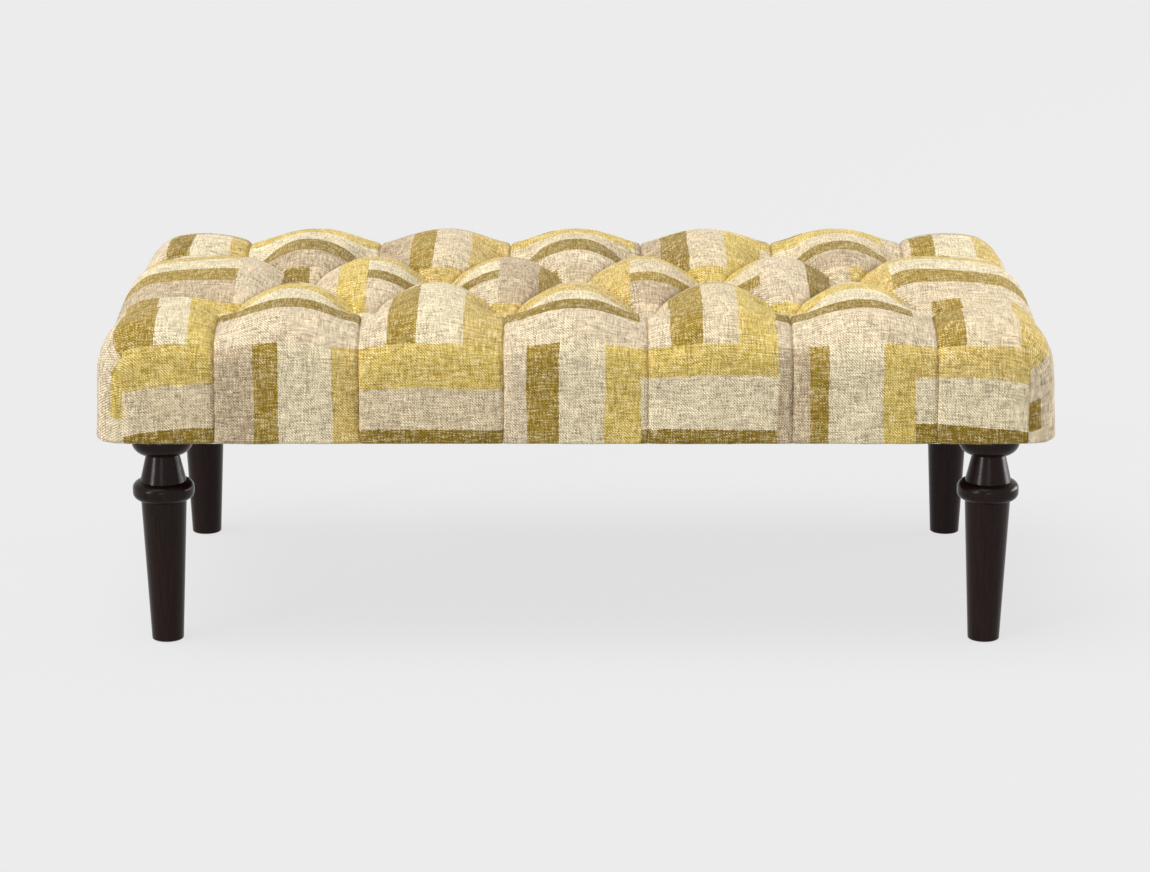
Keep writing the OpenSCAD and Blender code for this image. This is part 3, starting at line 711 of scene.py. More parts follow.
class SeatSkin:
    """A net over the seat: a grid on top whose lines follow the folds, and rings down the sides."""

    RIM_CROWDING: float = 1.5
    LINES_BEFORE_SEAM: float = 0.3
    CROWDING_BEFORE_SEAM: float = 1.6
    CROWDING_AFTER_SEAM: float = 1.4
    ARC_STEPS: int = 2001
    PANEL_EDGE: float = 0.002

    def __init__(self, shape: SeatShape, fine: Fineness) -> None:
        """Lays out the net.

        Args:
            shape: The seat's shape.
            fine: The number of cells.
        """
        self.shape = shape
        self.fine = fine
        self._lay_top()
        self._lay_columns()
        self._lay_rings()
        self._join()

    def _rim_lines(self, start: float, end: float) -> Array:
        """Places of the lines from the outer buttons to the rounded edge, closer together at the buttons."""
        share = (np.arange(1, self.fine.rim + 1) / self.fine.rim) ** self.RIM_CROWDING
        return start + (end - start) * share

    def _lay_top(self) -> None:
        """Lays out the grid on top of the seat, as far as the rounded edge."""
        shape, fold, rim = self.shape, self.fine.fold, self.fine.rim
        inner_x = shape.half_w - shape.shoulder_r
        inner_y = shape.half_d - shape.shoulder_r
        rim_x = self._rim_lines(shape.tuft_w, inner_x)
        rim_y = self._rim_lines(shape.tuft_d, inner_y)
        steps_x = np.arange(2 * fold * shape.columns + 1) / (2 * fold)
        steps_y = np.arange(2 * fold + 1) / fold
        first, second = (steps_x[:, None] + steps_y / 2), (steps_x[:, None] - steps_y / 2)
        first, second = drawn_in(first, self.fine.pull), drawn_in(second, self.fine.pull)
        field_x = (first + second) / 2 * shape.pitch - shape.tuft_w
        field_y = (first - second) * shape.row - shape.tuft_d
        edge_x = np.concatenate([-rim_x[::-1], field_x[:, 0], rim_x])
        edge_y = np.concatenate([-rim_y[::-1], field_y[0], rim_y])
        self.count_x, self.count_y = len(edge_x), len(edge_y)
        x = np.repeat(edge_x[:, None], self.count_y, axis=1)
        y = np.repeat(edge_y[None, :], self.count_x, axis=0)
        x[rim:-rim, rim:-rim] = field_x
        y[rim:-rim, rim:-rim] = field_y
        self.top_x, self.top_y = x, y

    def _corner_shares(self, seam: float) -> Array:
        """Places of the lines round a corner, closer together at the sewn fold, which is one of them.

        Args:
            seam: The place of the sewn fold, from 0 to 1.

        Returns:
            The places, from 0 to 1.
        """
        before = max(2, round(self.fine.corner * self.LINES_BEFORE_SEAM))
        after = self.fine.corner - before
        start = seam * (1 - (1 - np.arange(1, before + 1) / before) ** self.CROWDING_BEFORE_SEAM)
        end = seam + (1 - seam) * (np.arange(1, after) / after) ** self.CROWDING_AFTER_SEAM
        return np.concatenate([start, end])

    def _lay_columns(self) -> None:
        """Lays out the lines down the sides from the top's rim, anticlockwise from the front left."""
        shape, power = self.shape, self.shape.corner_power
        turn = np.linspace(0, math.pi / 2, self.ARC_STEPS)
        p, q = outline(turn, power)
        length = np.concatenate([[0], np.cumsum(np.hypot(np.diff(p), np.diff(q)))]) * shape.shoulder_r
        tops = np.arange(self.count_x * self.count_y).reshape(self.count_x, self.count_y)
        sides = [
            (tops[:, 0], (0, -1), np.abs(self.top_x[:, 0]), True),
            (tops[-1, :], (1, 0), np.abs(self.top_y[-1, :]), False),
            (tops[::-1, -1], (0, 1), np.abs(self.top_x[::-1, -1]), True),
            (tops[0, ::-1], (-1, 0), np.abs(self.top_y[0, ::-1]), False),
        ]
        blocks: list[tuple[Array, ...]] = []
        for number, (top, way, place, long_side) in enumerate(sides):
            count, turned = len(top), math.atan2(way[1], way[0])
            facing = np.tile(np.array(way, float), (count, 1))
            blocks.append((top, facing, facing, facing, self._gap(place, long_side), np.full(count, -1.0),
                           np.full(count, turned), np.full(count, FAR)))
            seam_at = shape.seam_share if long_side else 1 - shape.seam_share
            shares = self._corner_shares(shape.seam_share)
            shares = shares if long_side else 1 - shares[::-1]
            p, q = outline(np.interp(shares * length[-1], length, turn), power)
            here, following = np.array(way), np.array(sides[(number + 1) % len(sides)][1])
            normal = (p ** (power - 1))[:, None] * here + (q ** (power - 1))[:, None] * following
            spin = shares * math.pi / 2
            count = len(shares)
            blocks.append((
                np.full(count, top[-1]), p[:, None] * here + q[:, None] * following,
                normal / np.linalg.norm(normal, axis=1, keepdims=True),
                np.cos(spin)[:, None] * here + np.sin(spin)[:, None] * following,
                np.ones(count), shares * length[-1], np.full(count, turned),
                (shares - seam_at) * length[-1] * (1 if long_side else -1),
            ))
        (self.start, self.out, self.normal, self.fold_way, self.gap, self.arc, self.side_turn,
         self.sewn) = (np.concatenate(column) for column in zip(*blocks, strict=True))
        self.corner_length = length[-1]

    def _gap(self, place: Array, long_side: bool) -> Array:
        """Distance along a side from each line to the nearest pleat.

        Args:
            place: The distance of each line from the middle of the side.
            long_side: Whether the side is the front or the back.

        Returns:
            One distance for each line.
        """
        shape = self.shape
        if not long_side:
            return np.abs(place - shape.tuft_d)
        nearest = wave((place + shape.tuft_w) / shape.pitch) * shape.pitch
        return np.where(place > shape.tuft_w, place - shape.tuft_w, nearest)

    def _lay_rings(self) -> None:
        """Works out every point, its outward direction and its place on the flat cloth."""
        shape, fine = self.shape, self.fine
        x, y = self.top_x.ravel(), self.top_y.ravel()
        count, flat = len(x), np.stack([x, y], axis=1)
        top = np.stack([x, y, shape.top_z - shape.fall(x, y)], axis=1)
        rings = [(top, np.tile([0.0, 0.0, 1.0], (count, 1)), flat, np.zeros(count), np.ones(count),
                  np.full(count, FAR), flat, flat)]
        corner = flat[self.start]
        rim = corner + shape.shoulder_r * self.out
        wall_top = shape.top_z - shape.fall(rim[:, 0], rim[:, 1]) - shape.shoulder_r
        wall_foot = shape.hem_z + shape.hem_r
        rounded = shape.shoulder_r * math.pi / 2
        foot = rim + shape.lean * self.normal
        bands = ((Band.SHOULDER, fine.shoulder), (Band.WALL, fine.wall), (Band.HEM, fine.hem))
        rows = [(band, k / cells) for band, cells in bands for k in range(1, cells + 1)]
        for band, share in rows:
            angle = share * math.pi / 2
            if band is Band.SHOULDER:
                plan = corner + shape.shoulder_r * math.sin(angle) * self.out
                fall = shape.fall(plan[:, 0], plan[:, 1])
                z = shape.top_z - fall - shape.shoulder_r * (1 - math.cos(angle))
                out, up = math.sin(angle), math.cos(angle)
                distance = np.full(len(z), shape.shoulder_r * angle)
            elif band is Band.WALL:
                plan = rim + share * shape.lean * self.normal
                z = wall_top + share * (wall_foot - wall_top)
                out, up = 1.0, 0.0
                distance = rounded + share * (wall_top - wall_foot)
            else:
                plan = foot - shape.hem_r * (1 - math.cos(angle)) * self.normal
                z = np.full(len(plan), wall_foot - shape.hem_r * math.sin(angle))
                out, up = math.cos(angle), -math.sin(angle)
                distance = rounded + (wall_top - wall_foot) + shape.hem_r * angle
            facing = np.column_stack([out * self.normal, np.full(len(z), up)])
            folds = corner + distance[:, None] * self.fold_way
            rings.append((np.column_stack([plan, z]), facing, folds, distance, self.gap, self.sewn,
                          *self._laid(corner, distance)))
        self.rows = len(rows)
        (self.points, self.normals, self.folds, self.reach, self.gaps, self.sewn_gap, self.cloth_a,
         self.cloth_b) = (np.concatenate(layer) for layer in zip(*rings, strict=True))

    def _laid(self, corner: Array, distance: Array) -> tuple[Array, Array]:
        """Places on the flat cloth, which runs on round each corner from either side of it.

        Args:
            corner: The point on the rim of the top that each line starts from.
            distance: How far down its line each point lies.

        Returns:
            The places counted from the side before the corner and from the side after it.
        """
        shape = self.shape
        turned = np.minimum(distance / shape.shoulder_r, math.pi / 2)
        swing = np.sin(turned) / distance
        on_side = self.arc < 0
        before = np.where(on_side, 0, self.arc * swing)
        after = np.where(on_side, 0, math.pi / 2 - (self.corner_length - self.arc) * swing)
        found = []
        for turn in (before, after):
            angle = self.side_turn + turn
            found.append(corner + distance[:, None] * np.column_stack([np.cos(angle), np.sin(angle)]))
        return found[0], found[1]

    def _join(self) -> None:
        """Lists the faces, each with the side of the corner fold that it lies on."""
        nx, ny = self.count_x, self.count_y
        index = np.arange(nx * ny).reshape(nx, ny)
        a, b, c, d = index[:-1, :-1], index[1:, :-1], index[1:, 1:], index[:-1, 1:]
        fold, rim = self.fine.fold, self.fine.rim
        i, j = np.meshgrid(np.arange(nx - 1) - rim, np.arange(ny - 1) - rim, indexing="ij")
        inside = (i >= 0) & (i < 2 * fold * self.shape.columns) & (j >= 0) & (j < 2 * fold)
        rising = inside & ((i - j) % (2 * fold) == 0)
        falling = inside & ((i + j + 1) % (2 * fold) == 0)
        plain = ~(rising | falling)
        quads = [np.stack([a[plain], b[plain], c[plain], d[plain]], axis=1)]
        tris = [np.stack([one[cut], two[cut], three[cut]], axis=1) for one, two, three, cut in (
            (a, b, c, rising), (a, c, d, rising), (a, b, d, falling), (b, c, d, falling))]
        quad_late, tri_late = [np.zeros(len(quads[0]), bool)], [np.zeros(len(part), bool) for part in tris]
        count = len(self.start)
        here, following = np.arange(count), (np.arange(count) + 1) % count
        late = self._past_seam()
        above, above_next = self.start[here], self.start[following]
        same = above == above_next
        ring = nx * ny + np.arange(count)
        quads.append(np.stack([above, ring[here], ring[following], above_next], axis=1)[~same])
        quad_late.append(late[~same])
        tris.append(np.stack([above, ring[here], ring[following]], axis=1)[same])
        tri_late.append(late[same])
        for row in range(1, self.rows):
            upper, lower = ring + (row - 1) * count, ring + row * count
            quads.append(np.stack([upper[here], lower[here], lower[following], upper[following]], axis=1))
            quad_late.append(late)
        self.quads, self.tris, self.quad_late, self.tri_late = (
            np.concatenate(part) for part in (quads, tris, quad_late, tri_late))
        self.last_ring = ring + (self.rows - 1) * count

    def faces(self) -> list[list[int]]:
        """The faces of the net, as lists of point numbers."""
        return [*self.quads.tolist(), *self.tris.tolist()]

    def _past_seam(self) -> Array:
        """Whether each cell between two lines lies past its corner's sewn fold.

        Returns:
            True or False for each cell.
        """
        long_side = np.abs(np.sin(self.side_turn)) > 0.5
        seam_at = np.where(long_side, self.shape.seam_share, 1 - self.shape.seam_share) * self.corner_length
        return (self.arc >= 0) & (self.arc > seam_at - TINY)

    def panel_shift(self, faces: Array, hidden: float) -> Array:
        """How far the print moves from tuft to tuft, because each fold hides some cloth.

        Args:
            faces: The faces, as rows of point numbers.
            hidden: Cloth that a fold hides, in metres.

        Returns:
            A shift in the plane of the cloth for each face.
        """
        shape, edge = self.shape, self.PANEL_EDGE
        middle = self.folds[faces].mean(axis=1)
        along, back = shape.counted(middle[:, 0], middle[:, 1])
        along, back = np.clip(along, -edge, shape.columns + edge), np.clip(back, -edge, 2 + edge)
        slope = np.array([1 / shape.pitch, 1 / (2 * shape.row)])
        first = slope / np.linalg.norm(slope)
        second = first * (1, -1)
        one, other = np.floor(along + back / 2)[:, None], np.floor(along - back / 2)[:, None]
        return hidden * (one * first + other * second)


@dataclass
class TuftedCover:
    """The tufted cloth cover of the seat, with its pleats, corner folds and turned-in lower edge."""

    shape: SeatShape
    finish: bpy.types.Material
    thickness: float = 0.0013
    hidden: float = 0.011
    print_sag: float = 0.016
    print_sag_run: float = 0.055
    narrow_share: float = 0.6
    broad_share: float = 0.22
    edge_run: float = 0.05
    wall_run: float = 0.100
    hem_calm: float = 0.7
    fade: float = 0.03
    crease: float = 0.0058
    slit: float = 0.0040
    slit_width: float = 0.0016
    seam_depth: float = 0.0026
    seam_width: float = 0.0022
    tuck_depth: float = 0.0016
    tuck_width: float = 0.014
    seam_reach: float = 0.2
    wrinkle: float = 0.0011
    wrinkles: tuple[int, int] = (13, 21)
    wrinkle_turns: tuple[float, float] = (1.7, 2.9)
    wrinkle_twist: float = 30.0
    finer_wrinkle: float = 0.6
    wrinkle_ring: float = 0.030
    wrinkle_run: float = 0.022
    wrinkle_rise: float = 5.0
    lump: float = 0.0009
    lumps: tuple[float, float] = (22.0, 55.0)
    lump_seeds: tuple[float, float] = (0.3, 4.1)
    fold_lump: float = 0.3
    rim_steps: tuple[float, ...] = (-0.004, 0.0005, 0.002, 0.03)
    rim_levels: tuple[float, ...] = (-0.0046, -0.0006, 0.0022, 0.075)
    top_band: float = 0.03
    fine: Fineness = Fineness(fold=22, rim=14, corner=22, shoulder=14, wall=12, hem=4)

    def folded(self, skin: SeatSkin) -> Array:
        """Draws the net in along every fold and pleat.

        Args:
            skin: The net over the seat.

        Returns:
            How far each point moves inwards.
        """
        shape = self.shape
        x, y = skin.folds[:, 0], skin.folds[:, 1]
        height = skin.points[:, 2]
        crown = shape.swell(x, y)
        deep = (shape.pit_depth - shape.rise(x, y)) * (1 - crown)
        narrow = np.exp(-skin.gaps / shape.pleat_width)
        wall = shape.wall_pleat * (self.narrow_share * narrow + self.broad_share * (1 - crown))
        blend = smooth(skin.reach / self.wall_run)
        calm = self.hem_calm * smooth((shape.hem_z + self.fade - height) / self.fade)
        hem = 1 - calm * (skin.reach > self.wall_run)
        down = smooth(skin.reach / self.edge_run)
        gap = shape.crease_gap(x, y) * (1 - down) + np.minimum(1, skin.gaps) * down
        tight = (self.crease * (1 - down) + self.slit * down) * np.exp(-gap / self.slit_width)
        depth = deep * (1 - blend) + wall * blend * hem + tight * hem
        sewn = smooth((shape.seam_top - height) / self.fade) * (skin.reach > self.edge_run)
        gap = skin.sewn_gap
        groove = self.seam_depth * np.exp(-np.abs(gap) / self.seam_width)
        tuck = self.tuck_depth * (gap > SEAM_SIDE) * np.exp(-gap / self.tuck_width)
        return depth + sewn * (groove + tuck) * (np.abs(gap) < self.seam_reach)

    def creased(self, skin: SeatSkin) -> Array:
        """The small wrinkles that run out from each button and the unevenness of the stuffing.

        Args:
            skin: The net over the seat.

        Returns:
            How far each point moves outwards.
        """
        x, y = skin.folds[:, 0], skin.folds[:, 1]
        offset_x = x[:, None] - self.shape.buttons[:, 0]
        offset_y = y[:, None] - self.shape.buttons[:, 1]
        distance = np.hypot(offset_x, offset_y)
        near = np.argmin(distance, axis=1)
        rows = np.arange(len(x))
        distance = distance[rows, near]
        angle = np.arctan2(offset_y[rows, near], offset_x[rows, near])
        fan = np.sin(self.wrinkles[0] * angle + self.wrinkle_turns[0] * near)
        finer = self.wrinkles[1] * angle + self.wrinkle_turns[1] * near + self.wrinkle_twist * distance
        fan = fan + self.finer_wrinkle * np.sin(finer)
        crown = self.shape.swell(x, y)
        ring = np.exp(-((distance - self.wrinkle_ring) / self.wrinkle_run) ** 2)
        strength = ring * np.minimum(1, self.wrinkle_rise * crown)
        broad, small = (uneven(x, y, (spots, spots), seed)
                        for spots, seed in zip(self.lumps, self.lump_seeds, strict=True))
        lumps = (broad + 0.5 * small) * np.minimum(1, self.fold_lump + crown)
        return self.wrinkle * fan * strength + self.lump * lumps

    def seated(self, points: Array) -> Array:
        """Keeps the cloth under its buttons: flat below each one and rising steeply round its rim.

        Args:
            points: The points of the cloth.

        Returns:
            The same points, lowered where they stood too high.
        """
        shape = self.shape
        distance = shape.button_gap(points[:, 0], points[:, 1])
        limit = shape.rim_z + np.interp(distance, shape.button_r + np.array(self.rim_steps), self.rim_levels)
        seated = points.copy()
        on_top = points[:, 2] > shape.rim_z - self.top_band
        seated[:, 2] = np.where(on_top, np.minimum(points[:, 2], limit), points[:, 2])
        return seated

    def build(self) -> bpy.types.Object:
        """Builds the cover as a closed shell of cloth and lays its print.

        Returns:
            The cover.
        """
        skin = SeatSkin(self.shape, self.fine)
        outer = skin.points + (self.creased(skin) - self.folded(skin))[:, None] * skin.normals
        outer = self.seated(outer)
        inner = outer - self.thickness * skin.normals
        sag = self.print_sag * np.exp(-skin.reach / self.print_sag_run) * (skin.reach > 0)
        crown = self.shape.swell(skin.folds[:, 0], skin.folds[:, 1])
        outward = np.where(skin.reach[:, None] > 0, skin.normals[:, :2], 0)
        shift = (sag * (1 - crown))[:, None] * outward
        cloth = [skin.cloth_a - shift, skin.cloth_b - shift]
        piece = shell("cover_cloth", outer, inner, skin.faces(), self.finish)
        lay_cloth(piece, skin, cloth, self.hidden)
        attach(piece, ROOT)
        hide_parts("cover")
        return piece


def uneven(x: Array, y: Array, spots: tuple[float, float], seed: float) -> Array:
    """Smooth noise over a plan, from about -1 to 1.

    Args:
        x: The places along the seat.
        y: The places across it.
        spots: How many spots there are to a metre, along and across.
        seed: The slice of the noise that is read.

    Returns:
        One value for each place.
    """
    places = zip(x * spots[0], y * spots[1], strict=True)
    return np.array([noise.noise(Vector((u, v, seed))) for u, v in places])


def shell(name: str, outer: Array, inner: Array, faces: list[list[int]],
          finish: bpy.types.Material) -> bpy.types.Object:
    """Makes a closed shell from two skins that share one net.

    Args:
        name: The piece's name.
        outer: The points of the outside.
        inner: The points of the inside.
        faces: The faces of the outside, as lists of point numbers.
        finish: The material.

    Returns:
        The piece. Its faces are the outside, the inside and then the rim between them.
    """
    count = len(outer)
    ways = {(face[k], face[(k + 1) % len(face)]) for face in faces for k in range(len(face))}
    rim = [[b, a, a + count, b + count] for a, b in sorted(ways) if (b, a) not in ways]
    inside = [[point + count for point in reversed(face)] for face in faces]
    return solid(name, np.concatenate([outer, inner]), [*faces, *inside, *rim], finish)


def solid(name: str, points: Array, faces: list[list[int]], finish: bpy.types.Material) -> bpy.types.Object:
    """Makes a smooth mesh piece with sharp creases where it bends hard.

    Args:
        name: The piece's name.
        points: Its points.
        faces: Its faces, as lists of point numbers.
        finish: The material.

    Returns:
        The piece.
    """
    mesh = bpy.data.meshes.new(name)
    mesh.from_pydata(points.tolist(), [], faces)
    mesh.materials.append(finish)
    mesh.shade_smooth()
    mesh.set_sharp_from_angle(angle=SHARP_BEND)
    piece = bpy.data.objects.new(name, mesh)
    bpy.context.scene.collection.objects.link(piece)
    return piece


def lay_cloth(piece: bpy.types.Object, skin: SeatSkin, cloth: list[Array], hidden: float) -> None:
    """Gives a shell its cloth map, in metres of flat cloth.

    Args:
        piece: The shell.
        skin: The net it was made from.
        cloth: Each point's place on the cloth, before and after a corner fold.
        hidden: Cloth that a fold hides.
    """
    flat = []
    for faces, late in ((skin.quads, skin.quad_late), (skin.tris, skin.tri_late)):
        place = np.where(late[:, None, None], cloth[1][faces], cloth[0][faces])
        flat.append(place + skin.panel_shift(faces, hidden)[:, None, :])
    laid = np.concatenate([corners for layer in flat for corners in layer]
                          + [corners[::-1] for layer in flat for corners in layer])
    rim = np.zeros((len(piece.data.loops) - len(laid), 2))
    layer = piece.data.uv_layers.new(name=CLOTH_MAP)
    layer.data.foreach_set("uv", np.concatenate([laid, rim]).astype(np.float32).ravel())


@dataclass
class CoveredButtons:
    """The cloth covered buttons at the bottom of the pits."""

    finish: bpy.types.Material
    spokes: int = 56
    rings: int = 12
    gathers: int = 14
    gather_depth: float = 0.00022
    gather_rise: int = 4
    edge_r: float = 0.0016
    edge_curve: tuple[float, float] = (0.3, 0.25)
    dome_power: float = 0.9
    cloth_step: float = 0.37

    def build(self) -> list[bpy.types.Object]:
        """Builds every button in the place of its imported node.

        Returns:
            The buttons.
        """
        made = []
        for number, name in enumerate(button_names()):
            piece = self._button(name, number)
            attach(piece, ROOT)
            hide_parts(name)
            made.append(piece)
        return made

    def _button(self, name: str, number: int) -> bpy.types.Object:
        """Builds one button.

        Args:
            name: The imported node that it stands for.
            number: Its number, which turns its gathers.

        Returns:
            The button.
        """
        low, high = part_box(name)
        radius, height = (high[0] - low[0]) / 2, high[2] - low[2]
        profile = self._profile(radius, height)
        angle = np.arange(self.spokes) * 2 * math.pi / self.spokes
        waves = np.sin(self.gathers * angle + number)
        points = []
        for r, z in profile:
            gather = 1 + self.gather_depth / radius * waves * (r / radius) ** self.gather_rise
            ring = np.column_stack([r * gather * np.cos(angle), r * gather * np.sin(angle)])
            points.append(np.column_stack([ring, np.full(len(angle), z)]))
        middle = np.array([*middle_of(name), low[2]])
        points = np.concatenate([*points, [[0, 0, height]], [[0, 0, 0]]]) + middle
        last = (len(profile) - 1) * self.spokes
        spokes = [(spoke, (spoke + 1) % self.spokes) for spoke in range(self.spokes)]
        faces = [[start + spoke, start + after, start + after + self.spokes, start + spoke + self.spokes]
                 for start in range(0, last, self.spokes) for spoke, after in spokes]
        for spoke, after in spokes:
            faces.append([last + spoke, last + after, last + self.spokes])
            faces.append([after, spoke, last + self.spokes + 1])
        piece = solid(name + "_covered", points, faces, self.finish)
        layer = piece.data.uv_layers.new(name=CLOTH_MAP)
        flat = points[np.concatenate([np.array(f) for f in faces])][:, :2] + (0.0, self.cloth_step * number)
        layer.data.foreach_set("uv", flat.astype(np.float32).ravel())
        return piece

    def _profile(self, radius: float, height: float) -> list[tuple[float, float]]:
        """Half the button's outline.

        Args:
            radius: The button's radius.
            height: Its height.

        Returns:
            Each ring's radius and height, from the rim underneath to near the top of the dome.
        """
        edge_x, edge_z = self.edge_curve
        under = [(radius - self.edge_r, 0.0), (radius - edge_x * self.edge_r, edge_z * self.edge_r),
                 (radius, self.edge_r)]
        turns = [ring / self.rings * math.pi / 2 for ring in range(1, self.rings)]
        return under + [(radius * math.cos(turn) ** self.dome_power,
                         self.edge_r + (height - self.edge_r) * math.sin(turn)) for turn in turns]


@dataclass
class Padding:
    """The batting and the foam under the cover."""

    shape: SeatShape
    batting_finish: bpy.types.Material
    foam_finish: bpy.types.Material
    cover_gap: float = 0.0017
    loft: float = 0.0138
    foam_gap: float = 0.0004
    fine: Fineness = Fineness(fold=8, rim=6, corner=8, shoulder=6, wall=4, hem=1, pull=0.4)

    def build(self) -> list[bpy.types.Object]:
        """Builds the batting as a shell and the foam as a block inside it.

        Returns:
            The two pieces.
        """
        cover = TuftedCover(self.shape, self.batting_finish)
        skin = SeatSkin(self.shape, self.fine)
        above = skin.last_ring - len(skin.last_ring)
        surface, normals = skin.points.copy(), skin.normals.copy()
        surface[skin.last_ring, :2] = surface[above, :2]
        normals[skin.last_ring] = normals[above]
        fold = cover.folded(skin)[:, None]
        outer = cover.seated(surface - fold * normals)
        outside = outer - self.cover_gap * normals
        held = smooth(skin.reach / self.shape.shoulder_r / math.pi * 2)[:, None]
        inside = outside + (held * fold - self.loft) * normals
        foot = np.isin(np.arange(len(outer)), skin.last_ring)
        for layer in (outside, inside):
            layer[foot, 2] = self.shape.hem_z + self.cover_gap
        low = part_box("foam_block")[0]
        batting = shell("batting_layer", outside, inside, skin.faces(), self.batting_finish)
        foam_points = inside - self.foam_gap * normals
        foam_points[:, 2] = np.maximum(foam_points[:, 2], low[2])
        faces = [*skin.faces(), skin.last_ring.tolist()[::-1]]
        foam = solid("foam_pad", foam_points, faces, self.foam_finish)
        for piece, node in ((batting, "batting"), (foam, "foam_block")):
            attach(piece, ROOT)
            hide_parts(node)
        return [batting, foam]


@dataclass
class Underside:
    """The cloth strips that hold the cover's lower edge and the cambric that closes the seat from below."""

    shape: SeatShape
    strip_finish: bpy.types.Material
    cambric_finish: bpy.types.Material
    seam_gap: float = 0.0001
    cambric_gap: float = 0.002
    strip_pucker: float = 0.0005
    strip_rows: int = 6
    turned_edge: float = 0.012
    turn_run: float = 0.002
    edge_t: float = 0.0004
    cell: float = 0.009
    sag: float = 0.0042
    sag_run: float = 0.16
    pucker: float = 0.0011
    pucker_run: float = 0.03
    ripple: float = 0.0006
    ripple_run: float = 0.05
    ripples: tuple[float, float] = (9.0, 14.0)
    ripple_seed: float = 2.2
    staple_step: float = 0.0796
    staple_inset: float = 0.005
    leg_room: float = 0.035
    leg_lines: int = 8
    arm_lines: int = 5

    def build(self) -> list[bpy.types.Object]:
        """Builds the strips and the cambric.

        Returns:
            The two pieces.
        """
        return [self._strips(), self._cambric()]

    def _strips(self) -> bpy.types.Object:
        """Builds the ring of strips, sewn to the lower edge of the cover and puckered by its staples.

        Returns:
            The ring.
        """
        low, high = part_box("pull_strips")
        skin = SeatSkin(self.shape, TuftedCover.fine)
        edge = skin.points[skin.last_ring]
        outward = np.column_stack([skin.normal, np.zeros(len(edge))])
        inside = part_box("dust_cover")[1][0] + self.cambric_gap
        width = edge[:, 0].max() - inside
        along = np.where(np.abs(outward[:, 0]) > np.abs(outward[:, 1]), edge[:, 1], edge[:, 0])
        rows_under, rows_over = [], []
        for share in np.linspace(0, 1, self.strip_rows + 1):
            place = edge - (self.seam_gap + share * width) * outward
            ripple = np.cos(2 * math.pi * along / self.staple_step) * math.sin(math.pi * share)
            level = low[2] + self.strip_pucker * (1 + ripple) * math.sin(math.pi * share) ** 2 * 0.5
            rows_under.append(np.column_stack([place[:, :2], level]))
            rows_over.append(np.column_stack([place[:, :2], np.full(len(place), high[2])]))
        count = len(edge)
        here, after = np.arange(count), (np.arange(count) + 1) % count
        faces = []
        for row in range(self.strip_rows):
            start, end = row * count, (row + 1) * count
            faces += np.stack([start + here, end + here, end + after, start + after], axis=1).tolist()
        under, over_it = np.concatenate(rows_under), np.concatenate(rows_over)
        piece = shell("pull_strip_ring", under, over_it, faces, self.strip_finish)
        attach(piece, ROOT)
        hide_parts("pull_strips")
        return piece

    def _cambric(self) -> bpy.types.Object:
        """Builds the cambric: cut out round the legs, turned under at its edges and sagging a little.

        Returns:
            The cambric.
        """
        low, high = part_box("dust_cover")
        leg_x, leg_y = middle_of("leg_back_right")
        half_w, half_d = high[0], high[1]
        inner_x = leg_x - self.leg_room
        core = round(2 * leg_y / self.cell)
        rim_rows = round((half_d - leg_y) / self.cell)
        y = np.linspace(-leg_y, leg_y, core + 1)
        rim = np.linspace(leg_y, half_d, rim_rows + 1)[1:]
        full = np.concatenate([-rim[::-1], y, rim])
        x = np.linspace(-inner_x, inner_x, round(2 * inner_x / self.cell) + 1)
        turn = np.linspace(0, math.pi / 2, self.leg_lines + 1)[1:]
        arm = np.linspace(leg_x, half_w, self.arm_lines + 1)[1:]
        arm_x = np.concatenate([leg_x - self.leg_room * np.cos(turn), arm])
        arm_y = np.concatenate([leg_y - self.leg_room * np.sin(turn),
                                np.full(len(arm), leg_y - self.leg_room)])
        points = [np.stack(np.meshgrid(x, full, indexing="ij"), axis=-1).reshape(-1, 2)]
        index = np.arange(len(x) * len(full)).reshape(len(x), len(full))
        faces = grid_faces(index)
        count = index.size
        for side, start in ((1, index[-1, rim_rows:-rim_rows]), (-1, index[0, rim_rows:-rim_rows])):
            lines = [start]
            for place, limit in zip(arm_x, arm_y, strict=True):
                line = np.column_stack([np.full(core + 1, side * place), y * limit / leg_y])
                points.append(line)
                lines.append(np.arange(count, count + core + 1))
                count += core + 1
            faces += grid_faces(np.array(lines) if side > 0 else np.array(lines)[::-1])
        flat = np.concatenate(points)
        depth = self._edge_gap(flat, half_w, half_d, (leg_x, leg_y))
        drop = self._drop(flat, depth)
        single = self.edge_t * smooth((depth - self.turned_edge) / self.turn_run)
        under = np.column_stack([flat, low[2] + single - drop])
        over_it = np.column_stack([flat, high[2] - drop])
        faces = [face[::-1] for face in faces]
        piece = shell("cambric_dust_cover", under, over_it, faces, self.cambric_finish)
        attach(piece, ROOT)
        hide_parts("dust_cover")
        return piece

    def _edge_gap(self, flat: Array, half_w: float, half_d: float, leg: tuple[float, float]) -> Array:
        """Distance from each point to the nearest edge of the cambric.

        Args:
            flat: The points in plan.
            half_w: Half the cambric's width.
            half_d: Half its depth.
            leg: The axis of the back right leg.

        Returns:
            The distances.
        """
        x, y = np.abs(flat[:, 0]), np.abs(flat[:, 1])
        notch = np.hypot(np.maximum(0, leg[0] - x), np.maximum(0, leg[1] - y)) - self.leg_room
        return np.maximum(0, np.minimum(np.minimum(half_w - x, half_d - y), notch))

